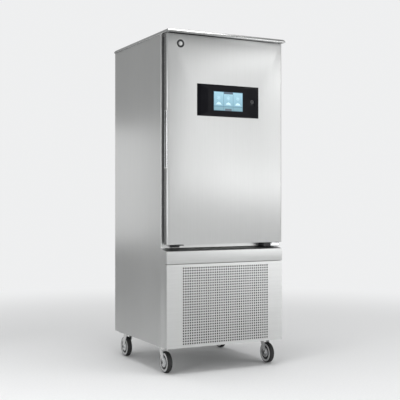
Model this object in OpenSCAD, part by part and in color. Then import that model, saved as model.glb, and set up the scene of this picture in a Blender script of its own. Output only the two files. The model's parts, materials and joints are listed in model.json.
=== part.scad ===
// Reach-in blast chiller on four swivel castors: one insulated door above a
// perforated machine compartment. Millimetres. The origin is on the floor, below
// the middle of the whole outline; +Z is up and the door faces -Y, hinged at +X.

/* [Cabinet] */
// Width of the body across its side panels
body_w = 776; // [740:1:860]
// Depth of the body behind the door and the fascia
body_d = 720; // [690:1:860]
// Height of the body, from its underside to the underside of the cover
body_h = 1805.5; // [1790:0.5:1900]
// Thickness of the outer steel sheets
sheet_t = 1.2; // [0.8:0.1:1.5]
// Outer bend radius of the side panels' corners
bend_r = 4; // [3:0.5:6]
// Width of the side panels' folded front and rear flanges
flange_w = 26; // [22:1:30]
// Thickness of the insulated side and rear walls
wall_t = 60; // [55:1:75]
// Thickness of the insulated floor below the chamber
floor_t = 75; // [65:1:85]
// Thickness of the insulated ceiling above the chamber
ceiling_t = 70; // [60:1:75]

/* [Cover] */
// Overhang of the cover beyond each side panel
cover_side = 7; // [4:1:15]
// Overhang of the cover in front of the door
cover_front = 30; // [15:1:40]
// Height of the cover's lip
cover_h = 19.5; // [15:0.5:30]
// Width of the cover's folded-in return below
cover_return = 50; // [45:1:60]

/* [Fascia] */
// Depth of the fascia and of the closed door with its seal, in front of the body
front_d = 78; // [72:1:84]
// Height of the fascia's front face above the body's underside
fascia_h = 555; // [540:1:575]
// Height of the fascia's plain upper rail
rail_h = 72; // [50:1:90]
// Rise of the rail's top from its front edge to the body
rail_rise = 14; // [8:1:16]
// Width of the seam between the rail and the grille panel
seam_w = 3; // [1:0.5:4]
// Depth of the grille panel's folded sides
grille_return = 22; // [15:1:35]
// Thickness of the grille panel's sheet
grille_t = 1.5; // [1:0.1:2.5]
// Diameter of the grille's holes
hole_d = 10; // [6:0.5:11]
// Distance between hole centres across the grille
hole_pitch_x = 14.8; // [13:0.1:18]
// Distance between hole centres up the grille
hole_pitch_z = 15; // [13:0.1:18]
// Height of the grille's lowest row of holes above the body's underside
hole_start = 22; // [18:1:40]
// Number of holes across the grille
hole_columns = 39; // [20:1:41]
// Number of rows of holes
hole_rows = 30; // [15:1:30]

/* [Chamber] */
// Thickness of the chamber liner's sheet
liner_t = 1; // [0.8:0.1:1.5]
// Radius of the liner's upright rear corners
liner_r = 18; // [10:1:30]
// Number of tray levels
tray_levels = 15; // [5:1:15]
// Distance between tray levels
tray_pitch = 65; // [50:1:65]
// Height of the lowest tray level above the chamber's floor
tray_start = 60; // [40:1:65]
// Length of the trays from front to back
tray_l = 400; // [360:1:410]
// Distance between a runner and the chamber's side wall
rack_stand = 14.5; // [12:0.5:40]
// Width of a runner's ledge
ledge_w = 24; // [18:1:30]
// Thickness of a runner's sheet
runner_t = 1.5; // [1:0.1:2]
// Height of a runner's upright leaf
leaf_h = 18; // [10:1:25]

/* [Evaporator] */
// Distance between the air baffle and each side wall
baffle_side = 28; // [20:1:40]
// Space between the air baffle and the chamber's rear wall
baffle_gap = 200; // [190:1:215]
// Diameter of the evaporator fans
evap_fan_d = 300; // [250:1:330]
// Depth of the evaporator's fin block
evap_coil_d = 105; // [90:1:110]
// Distance between the evaporator's fins and each side wall
coil_side = 88; // [85:1:120]

/* [Door] */
// Depth of the door's outer skin
door_skin_d = 37; // [34:0.5:42]
// Radius of the door's upright front edges
door_r = 8; // [5:0.5:10]
// Side gap between the door's edge and the body's side
door_inset = 2; // [1:0.5:4]
// Height of the door's lower edge above the fascia's front top edge
door_lift = 39; // [36:1:46]
// Gap between the door's top and the cover
door_top_gap = 5; // [4.6:0.2:8]
// Depth of the black inner frame behind the skin
inner_frame_d = 22; // [18:1:24]
// Distance of the inner frame from the skin's edge
inner_frame_inset = 9; // [7:0.5:14]
// Gap between the seal and the door's raised inner pan
plug_margin = 6; // [4:1:12]
// Width of the magnetic seal
seal_w = 20; // [16:1:22]
// Distance of the seal's outer edge from the skin's edge on the hinge side
seal_hinge_inset = 26; // [24:0.5:30]
// Height of the handle's pocket
handle_h = 329; // [200:1:400]
// Height of the handle's lower end above the floor
handle_z = 1186; // [1100:1:1300]
// Width of the handle's pocket into the door
handle_reach = 30; // [25:1:45]
// Wall thickness of the handle's cup
cup_t = 3; // [2:0.5:4]
// Width of the handle's gripping lip
grip_w = 12; // [8:0.5:14]
// How far the handle's lip stands proud of the door
grip_proud = 0.8; // [0.4:0.1:1.2]
// Diameter of the round badge
badge_d = 56; // [40:1:70]

/* [Controls] */
// Width of the black glass of the control panel
glass_w = 413; // [380:1:440]
// Height of the black glass
glass_h = 186; // [170:1:200]
// Thickness of the black glass
glass_t = 4; // [3:0.5:5]
// Height of the glass's lower edge above the floor
glass_z = 1493.5; // [1450:0.5:1560]
// Place of the glass's middle across the door
glass_x = 12.5; // [0:0.5:20]
// Width of the touch screen
screen_w = 194.5; // [180:0.5:210]
// Height of the touch screen
screen_h = 111; // [100:1:120]
// Depth of the housing behind the glass
housing_d = 26; // [22:0.5:28]
// Diameter of the push button
button_d = 18; // [14:1:22]
// Travel of the push button
button_travel = 1.5; // [0.5:0.1:2]

/* [Hinges] */
// Distance of the hinge axis from the door skin's edge
hinge_inset = 20; // [18:0.5:22]
// Distance of the hinge axis behind the door's front face
hinge_depth = 22; // [20:0.5:24]
// Diameter of the hinge pins
pin_d = 10; // [8:0.5:12]
// Length of a hinge pin in the door
pin_reach = 20; // [14:1:24]
// Width of the lower hinge bracket's arm
arm_w = 60; // [44:1:64]
// Height of the lower hinge bracket's arm
arm_h = 20; // [14:1:21]
// Thickness of the upper hinge bracket
upper_arm_t = 3; // [2:0.2:3.4]

/* [Castors] */
// Height of a castor, from the floor to the body's underside
castor_h = 155; // [150:1:175]
// Diameter of the wheels
wheel_d = 125; // [110:1:128]
// Width of the tyres
tyre_w = 32; // [26:1:36]
// Thickness of the tyres' rubber
tyre_t = 14; // [8:1:18]
// Distance of the axle behind the swivel axis
castor_trail = 30; // [20:1:38]
// Distance of the swivel axes from the side panels
castor_side = 43; // [41:1:70]
// Distance of the front castors' swivel axes from the body's front
castor_front = 55; // [52:1:120]
// Distance of the rear castors' swivel axes from the body's rear
castor_rear = 122; // [100:1:160]
// Width of a castor's top plate
plate_w = 84; // [76:1:86]
// Length of a castor's top plate
plate_l = 104; // [96:1:110]
// Diameter of the axles
axle_d = 12; // [10:0.5:14]

/* [Hidden] */
$fn = 48;

// Clearances
gap = 0.3;            // between neighbours that don't touch
slip = 0.05;          // radial, round a turning or seated pin
eps = 1;              // how far a cut runs past a face

// Outline of the whole object
total_d = body_d + front_d + cover_front;
y_cover = -total_d / 2;
y_front = y_cover + cover_front;
y_body = y_front + front_d;
y_rear = total_d / 2;
x_side = body_w / 2;
z_base = castor_h;
z_shell = z_base + body_h;

// Fascia
z_fascia = z_base + fascia_h;
z_rail = z_fascia - rail_h;
z_rail_rear = z_fascia + rail_rise;

// Insulated box and chamber
z_box = z_rail_rear + 2;
x_inner = x_side - sheet_t;
y_panel = y_rear - 2 * sheet_t;
x_chamber = x_side - wall_t;
y_chamber = y_panel - wall_t;
z_chamber = z_box + floor_t;
chamber_h = z_shell - ceiling_t - z_chamber;
z_ceiling = z_chamber + chamber_h;

// Tray racks
ledge_x = x_chamber - rack_stand - runner_t;
tray_y0 = y_body + 25;
runner_l = tray_l + 10;
post_w = 20;
post_y = [tray_y0 + 30, tray_y0 + tray_l - 50];
z_level0 = z_chamber + tray_start;

// Air baffle, evaporator and its fans
y_baffle = y_chamber - baffle_gap;
baffle_margin = 12;
z_baffle = z_chamber + baffle_margin;
baffle_h = chamber_h - 2 * baffle_margin;
z_upper_fan = z_baffle + baffle_h * 0.73;
z_lower_fan = z_baffle + baffle_h * 0.27;
ring_play = 6;
motor_d = 78;
motor_l = 36;
motor_shaft_d = 10;
guard_wire = 4;
guard_stand = 10;
guard_t = 3;
guard_pitch = 22;
guard_rim = 12;
spoke_w = 8;
y_motor = y_baffle - guard_stand;
y_blades = y_motor + motor_l + gap;
blade_l = 30;
coil_foot = 14;
y_coil = y_chamber - coil_foot - evap_coil_d;
coil_h = baffle_h - 120;
z_coil = z_baffle + 80;
x_coil = x_chamber - coil_side;
bend_pitch = 44;
tube_r = 5;
elbow = 1.2;
fin_t = 1.5;
evap_fins = 25;
evap_bends = floor(coil_h / bend_pitch / 2) - 1;
end_plate_t = 2;
end_plate_lip = 6;
z_liquid = z_coil + 40;
z_gas = z_coil + 12;
y_rise = y_coil - 28;

// Drain
drain_d = 26;
y_drain = y_coil + evap_coil_d / 2;
drip_h = 22;
catch_h = 60;
catch_w = 150;
catch_l = 120;
catch_t = 2;
catch_gap = 43;
z_tray_top = z_base + catch_h;

// Machine compartment
pan_t = 2;
pan_h = 25;
z_pan = z_base + pan_t;
cond_side = 116.8;
cond_x0 = -x_inner + cond_side;
cond_w = 460;
cond_d = 60;
cond_h = 420;
cond_fins = 31;
cond_bends = floor((cond_h - 60) / bend_pitch / 2);
cond_foot = 20;
z_cond = z_pan + cond_foot;
y_cond = y_body + 12;
shroud_d = 45;
y_shroud = y_cond + cond_d;
cond_fan_d = 340;
cond_fan_x = cond_x0 + cond_w / 2;
cond_fan_z = z_cond + cond_h / 2;
cond_blade_l = 34;
cond_shaft_l = 40;
cond_motor_l = 66;
cond_motor_r = 46;
y_cond_motor = y_shroud + shroud_d + 16 + gap;
comp_side = 191.8;
comp_x = x_inner - comp_side;
comp_y = 190;
comp_d = 172;
comp_h = 225;
mount_h = 18;
mount_dx = 92;
mount_dy = 74;
foot_plate_t = 6;
stub_r = 9;
stub_l = 8;
loop_gap = 28;
z_suction = z_pan + mount_h + 180;
z_inlet = z_pan + 60;
receiver_x = -180;
receiver_y = 240;
receiver_d = 92;
receiver_h = 230;
receiver_foot = 6;
drier_d = 48;
drier_h = 90;
drier_cone = 22;
z_receiver_top = z_pan + receiver_foot + receiver_h;
drier_x = receiver_x + 90;
drier_z = z_receiver_top + 60;
riser_x = [drier_x, drier_x - 40];
box_y = 20;
box_w = 150;
box_d = 88;
box_h = 270;
box_rise = 160;
gland_x = comp_x + 35;
gland_y = y_rear - 60;
gland_r = 12;

// Door
x_door = x_side - door_inset;
z_door = z_fascia + door_lift;
z_door_top = z_shell - door_top_gap;
door_h = z_door_top - z_door;
y_skin = y_front + door_skin_d;
y_frame = y_skin + inner_frame_d;
frame_x0 = -x_door + inner_frame_inset;
frame_x1 = x_door - inner_frame_inset;
frame_z0 = z_door + inner_frame_inset;
frame_z1 = z_door_top - inner_frame_inset;
seal_x0 = frame_x0 + 2;
seal_x1 = x_door - seal_hinge_inset;
seal_z0 = frame_z0 + 2;
seal_z1 = frame_z1 - 2;
plug_y = y_frame + 7;
plug_x = [seal_x0 + seal_w + plug_margin, seal_x1 - seal_w - plug_margin];
plug_z = [seal_z0 + seal_w + plug_margin, seal_z1 - seal_w - plug_margin];
cup_y = [y_front + 2, y_skin - sheet_t - gap];
badge_x = -x_door + 84.5;
badge_z = z_door_top - 54.5;
badge_t = 2.5;

// Controls
glass_proud = 1;
y_glass = y_front - glass_proud;
y_glass_back = y_glass + glass_t;
glass_x0 = glass_x - glass_w / 2;
screen_x0 = glass_x - screen_w / 2;
screen_z0 = glass_z + (glass_h - screen_h) / 2 - 1.5;
button_x = glass_x + glass_w / 2 - 44;
button_z = glass_z + glass_h / 2 + 4;
button_proud = 0.6;
button_l = 9;
housing_wall = 2.5;
stem_l = glass_t + housing_d - housing_wall - button_travel - gap;

// Hinges
hinge_x = x_door - hinge_inset;
hinge_y = y_front + hinge_depth;
bush_d = pin_d + 8;
bush_l = pin_reach + 3;
washer_d = pin_d + 12;
z_arm = z_door - 4;
arm_x0 = hinge_x + pin_d - arm_w;
arm_x1 = hinge_x + pin_d;
z_upper_arm = z_door_top + 1;
plate_back = 3;

// Castors
crown_t = 4;
leg_t = 3;
race_h = 8;
race_r = 24;
kingpin_r = 6;
plate_t = 4;
z_plate = z_base - plate_t;
z_race = z_plate - race_h;
axle_z = wheel_d / 2;
bolt_r = 4;
bolt_head_h = 5;
bolt_head_r = 6.5;
bolt_l = 22;
bolt_inset = 12;
leg_x = tyre_w / 2 + 2;
nut_t = 4.9;
axle_end = leg_x + leg_t + nut_t + 0.1;
castor_x = x_side - castor_side;
castor_y_front = y_body + castor_front;
castor_y_rear = y_rear - castor_rear;

// Colours
steel = [0.78, 0.79, 0.79];
bright = [0.92, 0.93, 0.94];
dark_steel = [0.45, 0.46, 0.47];
black = [0.06, 0.06, 0.07];
grey = [0.55, 0.56, 0.57];
foam = [0.93, 0.88, 0.66];
copper = [0.78, 0.46, 0.30];
aluminium = [0.80, 0.81, 0.83];

// ---------------------------------------------------------------- helpers

// A box between two corners, given as one [from, to] pair for each axis
module block(x, y, z) {
    translate([x[0], y[0], z[0]]) cube([x[1] - x[0], y[1] - y[0], z[1] - z[0]]);
}

// A cylinder along +Y that starts at the given point
module rod_y(x, y, z, r, l) {
    translate([x, y, z]) rotate([-90, 0, 0]) cylinder(r = r, h = l);
}

// A cylinder along +X that starts at the given point
module rod_x(x, y, z, r, l) {
    translate([x, y, z]) rotate([0, 90, 0]) cylinder(r = r, h = l);
}

// A cylinder along +Z that starts at the given point
module rod_z(x, y, z, r, l) {
    translate([x, y, z]) cylinder(r = r, h = l);
}

// A flat rectangle with round corners
module round_rect(x, y, r) {
    union() {
        translate([x[0] + r, y[0]]) square([x[1] - x[0] - 2 * r, y[1] - y[0]]);
        translate([x[0], y[0] + r]) square([x[1] - x[0], y[1] - y[0] - 2 * r]);
        for (cx = [x[0] + r, x[1] - r], cy = [y[0] + r, y[1] - r]) translate([cx, cy]) circle(r);
    }
}

// A bar with a round-cornered outline in plan
module round_bar(x, y, z, r) {
    translate([0, 0, z[0]]) linear_extrude(z[1] - z[0]) round_rect(x, y, r);
}

// A slab with a round-cornered outline as seen from the front
module round_slab(x, y, z, r) {
    translate([0, y[1], 0]) rotate([90, 0, 0]) linear_extrude(y[1] - y[0]) round_rect(x, z, r);
}

// A rectangular ring as seen from the front
module ring_slab(x, y, z, w) {
    difference() {
        block(x, y, z);
        block([x[0] + w, x[1] - w], [y[0] - eps, y[1] + eps], [z[0] + w, z[1] - w]);
    }
}

// A pipe through points that lie on axis-parallel lines, with a brazed elbow at each corner
module pipe(points, r) {
    for (i = [0 : len(points) - 2]) {
        step = points[i + 1] - points[i];
        turn = abs(step[0]) > 0 ? [0, 90 * sign(step[0]), 0]
             : abs(step[1]) > 0 ? [-90 * sign(step[1]), 0, 0]
             : [step[2] > 0 ? 0 : 180, 0, 0];
        translate(points[i]) rotate(turn) cylinder(r = r, h = norm(step));
    }
    for (i = [1 : 1 : len(points) - 2]) translate(points[i]) sphere(r * elbow);
}

module mirror_to_right() {
    mirror([1, 0, 0]) children();
}

// ---------------------------------------------------------------- outer shell

// A side panel folded at its front and rear edges
module side_panel() {
    color(steel) difference() {
        round_bar([-x_side, -x_side + 2 * flange_w], [y_body, y_rear], [z_base, z_shell], bend_r);
        round_bar([-x_side + sheet_t, -x_side + 2 * flange_w], [y_body + sheet_t, y_rear - sheet_t],
            [z_base - eps, z_shell + eps], bend_r - sheet_t);
        block([-x_side + flange_w, 0], [y_body - eps, y_rear + eps], [z_base - eps, z_shell + eps]);
    }
}

module rear_panel() {
    slot_h = 6;
    slot_pitch = 18;
    x = x_side - bend_r;
    color(steel) difference() {
        block([-x, x], [y_rear - 2 * sheet_t, y_rear - sheet_t], [z_base, z_shell]);
        for (side = [-1, 1], i = [0 : 13]) block([side * 170 - 110, side * 170 + 110],
            [y_rear - 2 * sheet_t - eps, y_rear], [z_base + 110 + i * slot_pitch,
            z_base + 110 + slot_h + i * slot_pitch]);
    }
}

// A folded cap with a return below, open in the middle
module top_cover() {
    x = x_side + cover_side;
    z = z_shell;
    color(steel) difference() {
        block([-x, x], [y_cover, y_rear], [z, z + cover_h]);
        block([-x + sheet_t, x - sheet_t], [y_cover + sheet_t, y_rear - sheet_t],
            [z + sheet_t, z + cover_h - sheet_t]);
        block([-x + cover_return, x - cover_return], [y_body + cover_return, y_rear - cover_return],
            [z - eps, z + 2 * sheet_t]);
    }
}

// Holes for one castor's four bolts
module castor_bolt_holes(r, z, l) {
    for (sx = [-1, 1], sy = [-1, 1])
        rod_z(sx * (plate_w / 2 - bolt_inset), sy * (plate_l / 2 - bolt_inset), z, r, l);
}

// Places its children at each castor's swivel axis
module at_castors() {
    for (sx = [-1, 1], y = [castor_y_front, castor_y_rear]) translate([sx * castor_x, y, 0]) children();
}

module base_pan() {
    y1 = y_rear - 2 * sheet_t;
    color(steel) difference() {
        block([-x_inner, x_inner], [y_body + sheet_t, y1], [z_base, z_base + pan_h]);
        block([-x_inner + pan_t, x_inner - pan_t], [y_body + sheet_t + pan_t, y1 - pan_t],
            [z_pan, z_base + pan_h + eps]);
        at_castors() castor_bolt_holes(bolt_r + 0.2, z_base - eps, pan_t + 2 * eps);
        corner_notches([z_base - eps, z_base + pan_h + eps]);
        rod_z(gland_x, gland_y, z_base - eps, gland_r + 0.2, pan_t + 2 * eps);
    }
}

// ---------------------------------------------------------------- insulated box

module liner_outline(grow) {
    r = liner_r + grow;
    x = x_chamber + grow;
    difference() {
        round_rect([-x, x], [y_body - 2 * liner_r, y_chamber + grow], r);
        translate([-x - eps, y_body - 2 * liner_r - eps]) square([2 * x + 2 * eps, 2 * liner_r + eps]);
    }
}

module cabinet_insulation() {
    y0 = y_body + sheet_t;
    color(foam) difference() {
        block([-x_inner, x_inner], [y0, y_panel], [z_box, z_shell]);
        translate([0, 0, z_chamber - liner_t]) linear_extrude(chamber_h + 2 * liner_t)
            liner_outline(liner_t);
        floor_holes(z_box - eps, floor_t);
        corner_notches([z_box - eps, z_shell + eps]);
    }
}

// Notches at the four upright corners, clear of the side panels' round bends
module corner_notches(z) {
    for (side = [0, 1], y = [y_body + bend_r, y_rear]) mirror([side, 0, 0])
        block([-x_side, -x_side + bend_r], [y - bend_r - sheet_t, y], z);
}

// Holes for the drain and the two risers in whatever lies below the evaporator
module floor_holes(z, l) {
    rod_z(0, y_drain, z, drain_d / 2 + gap, l);
    for (x = riser_x) rod_z(x, y_rise, z, tube_r + gap, l);
}

module chamber_liner() {
    color(steel) difference() {
        translate([0, 0, z_chamber - liner_t]) linear_extrude(chamber_h + 2 * liner_t)
            liner_outline(liner_t);
        translate([0, 0, z_chamber]) linear_extrude(chamber_h) liner_outline(0);
        block([-x_chamber, x_chamber], [y_body - eps, y_body + liner_r], [z_chamber, z_ceiling]);
        floor_holes(z_chamber - liner_t - eps, liner_t + 2 * eps);
    }
}

// The plain face round the chamber's mouth that the door's seal meets
module front_frame() {
    x = x_side - flange_w;
    color(steel) difference() {
        block([-x, x], [y_body, y_body + sheet_t], [z_box, z_shell]);
        block([-x_chamber - liner_t, x_chamber + liner_t], [y_body - eps, y_body + 2 * sheet_t],
            [z_chamber - liner_t, z_ceiling + liner_t]);
    }
}

// ---------------------------------------------------------------- fascia

// Side outline of the fascia's rail, y to the right and z up
module rail_outline(inset) {
    polygon([
        [y_front + inset, z_rail + inset], [y_body, z_rail + inset],
        [y_body, z_rail_rear - inset], [y_front + inset, z_fascia - inset]
    ]);
}

module along_x(x0, x1) {
    translate([x0, 0, 0]) rotate([90, 0, 90]) linear_extrude(x1 - x0) children();
}

// Upper rail with the side legs that carry the grille panel
module fascia_frame() {
    leg_y = y_front + grille_return + gap;
    color(steel) difference() {
        union() {
            along_x(-x_side, x_side) rail_outline(0);
            for (side = [0, 1]) mirror([side, 0, 0])
                block([-x_side, -x_side + flange_w], [leg_y, y_body], [z_base, z_rail + eps]);
        }
        along_x(-x_side + sheet_t, x_side - sheet_t) rail_outline(sheet_t);
        for (side = [0, 1]) mirror([side, 0, 0])
            block([-x_side + sheet_t, -x_side + flange_w + eps], [leg_y + sheet_t, y_body + eps],
                [z_base - eps, z_rail + sheet_t + eps]);
    }
}

// Holes of the grille, drawn flat with x across and z up
module grille_holes() {
    x0 = -(hole_columns - 1) * hole_pitch_x / 2;
    z0 = z_base + hole_start;
    for (i = [0 : hole_columns - 1], j = [0 : hole_rows - 1])
        translate([x0 + i * hole_pitch_x, z0 + j * hole_pitch_z]) circle(hole_d / 2);
}

module front_grille_panel() {
    z1 = z_rail - seam_w;
    color(steel) {
        translate([0, y_front + grille_t, 0]) rotate([90, 0, 0]) linear_extrude(grille_t) difference() {
            translate([-x_side, z_base]) square([body_w, z1 - z_base]);
            grille_holes();
        }
        for (side = [0, 1]) mirror([side, 0, 0])
            block([-x_side, -x_side + grille_t], [y_front, y_front + grille_return], [z_base, z1]);
        for (z = [z_base, z1 - grille_t])
            block([-x_side, x_side], [y_front, y_front + grille_return], [z, z + grille_t]);
    }
}

// ---------------------------------------------------------------- tray racks

// Rack on the left: two posts on the liner and one L-shaped runner per level
module tray_rack() {
    z_top = z_level0 + (tray_levels - 1) * tray_pitch + 40;
    y = [tray_y0, tray_y0 + runner_l];
    color(bright) {
        for (y = post_y)
            block([-x_chamber, -ledge_x - runner_t - gap], [y, y + post_w], [z_level0 - 30, z_top]);
        for (i = [0 : tray_levels - 1]) {
            z = z_level0 + i * tray_pitch;
            block([-ledge_x - runner_t, -ledge_x], y, [z, z + leaf_h]);
            block([-ledge_x - runner_t, -ledge_x + ledge_w], y, [z, z + runner_t]);
        }
    }
}

// ---------------------------------------------------------------- evaporator

// Front plate with two fan rings, and returns above and below to the rear wall
module air_baffle() {
    x = x_chamber - baffle_side;
    color(steel) difference() {
        union() {
            block([-x, x], [y_baffle, y_baffle + sheet_t], [z_baffle, z_baffle + baffle_h]);
            for (z = [z_baffle, z_baffle + baffle_h - sheet_t])
                block([-x, x], [y_baffle, y_chamber], [z, z + sheet_t]);
        }
        for (z = [z_lower_fan, z_upper_fan])
            rod_y(0, y_baffle - eps, z, evap_fan_d / 2 + ring_play, sheet_t + 2 * eps);
        floor_holes(z_baffle - eps, sheet_t + 2 * eps);
    }
}

// Upright fins on rows of tubes that run along X
module fin_pack(x, y, z, fins, rows, row_z) {
    step = (x[1] - x[0] - fin_t) / (fins - 1);
    for (i = [0 : fins - 1]) block([x[0] + i * step, x[0] + i * step + fin_t], y, z);
    for (i = [0 : rows - 1]) rod_x(x[0], (y[0] + y[1]) / 2, row_z + i * bend_pitch, tube_r, x[1] - x[0]);
}

// Fins between two end plates that stand on the chamber's rear wall
module evaporator_coil() {
    x = x_coil;
    color(aluminium) union() {
        fin_pack([-x, x], [y_coil, y_coil + evap_coil_d], [z_coil, z_coil + coil_h], evap_fins,
            2 * evap_bends, z_liquid);
        for (side = [0, 1]) mirror([side, 0, 0])
            block([-x - end_plate_t, -x + fin_t], [y_coil - end_plate_lip, y_chamber],
                [z_coil - end_plate_lip, z_coil + coil_h + end_plate_lip]);
    }
}

// One evaporator fan's motor, with a bore for the fan's shaft
module fan_motor_y(x, y, z, r, l) {
    difference() {
        rod_y(x, y, z, r, l);
        rod_y(x, y + 8, z, motor_shaft_d / 2 + slip, l);
    }
}

module evaporator_fan_motors() {
    color(black) for (z = [z_lower_fan, z_upper_fan]) fan_motor_y(0, y_motor, z, motor_d / 2, motor_l);
}

// Rings and four spokes of a guard round the plate for the motor, drawn flat
module guard_outline(r_max) {
    circle(motor_d / 2 + 6);
    for (r = [motor_d / 2 + guard_pitch + 4 : guard_pitch : r_max - guard_rim]) difference() {
        circle(r + guard_wire / 2);
        circle(r - guard_wire / 2);
    }
    for (a = [45 : 90 : 315]) rotate(a) translate([motor_d / 2, -spoke_w / 2])
        square([r_max - motor_d / 2, spoke_w]);
}

// Guards that stand on the baffle's front and carry the motors
module evaporator_fan_guards() {
    r_max = evap_fan_d / 2 + ring_play + guard_rim;
    color(bright) for (z = [z_lower_fan, z_upper_fan]) translate([0, y_motor - guard_t, z]) {
        translate([0, guard_t, 0]) rotate([90, 0, 0]) linear_extrude(guard_t) guard_outline(r_max);
        for (a = [45 : 90 : 315]) rotate([0, a, 0])
            block([r_max - guard_rim / 2, r_max], [guard_t - eps, guard_t + guard_stand],
                [-spoke_w, spoke_w]);
    }
}

// Five pitched blades on a hub, and the shaft that turns in the motor
module axial_fan_y(r, hub_r, l, shaft_l, pitch, count) {
    difference() {
        union() {
            rod_y(0, 0, 0, hub_r, l);
            intersection() {
                rod_y(0, 0, 0, r, l);
                for (i = [0 : count - 1]) rotate([0, i * 360 / count, 0])
                    translate([0, l / 2, 0]) rotate([0, 0, pitch])
                        block([-r * 0.24, r * 0.24], [-1.5, 1.5], [hub_r - 4, r + 10]);
            }
        }
        translate([0, l - 10, 0]) rod_y(0, 0, 0, hub_r - 6, l);
    }
    rod_y(0, -shaft_l, 0, motor_shaft_d / 2, shaft_l + 2);
}

module evaporator_fan(z) {
    color(black) translate([0, y_blades, z])
        axial_fan_y(evap_fan_d / 2, motor_d / 2, blade_l, motor_l - 12, 28, 5);
}

// Pan under the evaporator with a spout through the chamber's floor
module evaporator_drip_tray() {
    x = x_coil + 20;
    z = z_baffle + 12;
    y0 = y_coil - 14;
    t = 1.5;
    spout_dip = 10;
    color(steel) difference() {
        union() {
            block([-x, x], [y0, y_chamber], [z, z + drip_h]);
            rod_z(0, y_drain, z_tray_top - spout_dip, drain_d / 2, z + t - z_tray_top + spout_dip);
        }
        block([-x + t, x - t], [y0 + t, y_chamber - t], [z + t, z + drip_h + eps]);
        rod_z(0, y_drain, z_tray_top - spout_dip - eps, drain_d / 2 - t, z - z_tray_top + 30);
    }
}

// ---------------------------------------------------------------- machine compartment

// Hermetic compressor: domed shell, foot plate and terminal box
module compressor() {
    z = z_pan + mount_h;
    r = comp_d / 2;
    dome = 40;
    color(black) difference() {
        union() {
            translate([comp_x, comp_y, z + foot_plate_t]) rotate_extrude() difference() {
                union() {
                    square([r, comp_h - dome]);
                    translate([0, comp_h - dome]) square([r - dome, dome]);
                    translate([r - dome, comp_h - dome]) circle(dome);
                }
                translate([-2 * r, 0]) square([2 * r, 2 * comp_h]);
            }
            block([comp_x - mount_dx - 16, comp_x + mount_dx + 16],
                [comp_y - mount_dy - 14, comp_y + mount_dy + 14], [z, z + foot_plate_t]);
            block([comp_x - 34, comp_x + 34], [comp_y - r - 34, comp_y - r + 12], [z + 110, z + 190]);
            rod_x(comp_x - r - stub_l, comp_y, z_suction, stub_r, r);
        }
        at_mounts() rod_z(0, 0, z - eps, 6, foot_plate_t + 2 * eps);
    }
}

module at_mounts() {
    for (x = mount_dx * [-1, 1], y = mount_dy * [-1, 1]) translate([comp_x + x, comp_y + y, 0]) children();
}

// Rubber feet under the compressor
module compressor_mounts() {
    color(black) at_mounts() union() {
        rod_z(0, 0, z_pan, 14, mount_h);
        rod_z(0, 0, z_pan, 5.5, mount_h + 9);
    }
}

// Fins between end plates that stand on the base pan
module condenser_coil() {
    x1 = cond_x0 + cond_w;
    color(aluminium) union() {
        fin_pack([cond_x0, x1], [y_cond, y_shroud], [z_cond, z_cond + cond_h], cond_fins,
            2 * cond_bends + 1, z_inlet);
        for (x = [[cond_x0 - end_plate_t, cond_x0 + fin_t], [x1 - fin_t, x1 + end_plate_t]])
            block(x, [y_cond - end_plate_lip, y_shroud], [z_pan, z_cond + cond_h + end_plate_lip]);
    }
}

// Box that leads the air from the coil to the fan
module condenser_shroud() {
    x1 = cond_x0 + cond_w;
    t = 1.5;
    color(dark_steel) difference() {
        block([cond_x0, x1], [y_shroud, y_shroud + shroud_d], [z_cond, z_cond + cond_h]);
        block([cond_x0 + t, x1 - t], [y_shroud - eps, y_shroud + shroud_d - t],
            [z_cond + t, z_cond + cond_h - t]);
        rod_y(cond_fan_x, y_shroud, cond_fan_z, cond_fan_d / 2 + ring_play, shroud_d + eps);
    }
}

// Motor on two straps that stand on the shroud
module condenser_fan_motor() {
    r = cond_fan_d / 2 + 24;
    strap_w = 12;
    strap_t = 3;
    y_strap = y_cond_motor + 20;
    color(black) difference() {
        union() {
            rod_y(cond_fan_x, y_cond_motor, cond_fan_z, cond_motor_r, cond_motor_l);
            for (z = [cond_fan_z - 36, cond_fan_z + 24]) {
                block([cond_fan_x - r, cond_fan_x + r], [y_strap, y_strap + strap_t], [z, z + strap_w]);
                for (x = [cond_fan_x - r, cond_fan_x + r - strap_t])
                    block([x, x + strap_t], [y_shroud + shroud_d, y_strap + strap_t], [z, z + strap_w]);
            }
        }
        rod_y(cond_fan_x, y_cond_motor - eps, cond_fan_z, motor_shaft_d / 2 + slip,
            cond_motor_l - 20);
    }
}

// The condenser's fan turns in front of its motor
module condenser_fan() {
    color(black) translate([cond_fan_x, y_cond_motor - gap, cond_fan_z]) mirror([0, 1, 0])
        axial_fan_y(cond_fan_d / 2, cond_motor_r - 2, cond_blade_l, cond_shaft_l, 26, 5);
}

module liquid_receiver() {
    r = receiver_d / 2;
    cap = 20;
    color(black) translate([receiver_x, receiver_y, z_pan]) {
        translate([0, 0, receiver_foot]) rotate_extrude() difference() {
            union() {
                translate([0, cap]) square([r, receiver_h - 2 * cap]);
                square([r - cap, receiver_h]);
                for (z = [cap, receiver_h - cap]) translate([r - cap, z]) circle(cap);
            }
            translate([-2 * r, -eps]) square([2 * r, 2 * receiver_h]);
        }
        rod_x(-r - stub_l, 0, z_inlet - z_pan, stub_r, r);
        difference() {
            rod_z(0, 0, 0, r - 6, 16);
            rod_z(0, 0, -eps, r - 12, receiver_foot + eps);
        }
    }
}

// Copper filter cartridge with tapered ends, upright in the liquid line
module filter_drier() {
    r = drier_d / 2;
    color(copper) translate([drier_x, receiver_y, drier_z]) union() {
        cylinder(r1 = stub_r, r2 = r, h = drier_cone);
        translate([0, 0, drier_cone]) cylinder(r = r, h = drier_h);
        translate([0, 0, drier_cone + drier_h]) cylinder(r1 = r, r2 = stub_r, h = drier_cone);
    }
}

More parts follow.
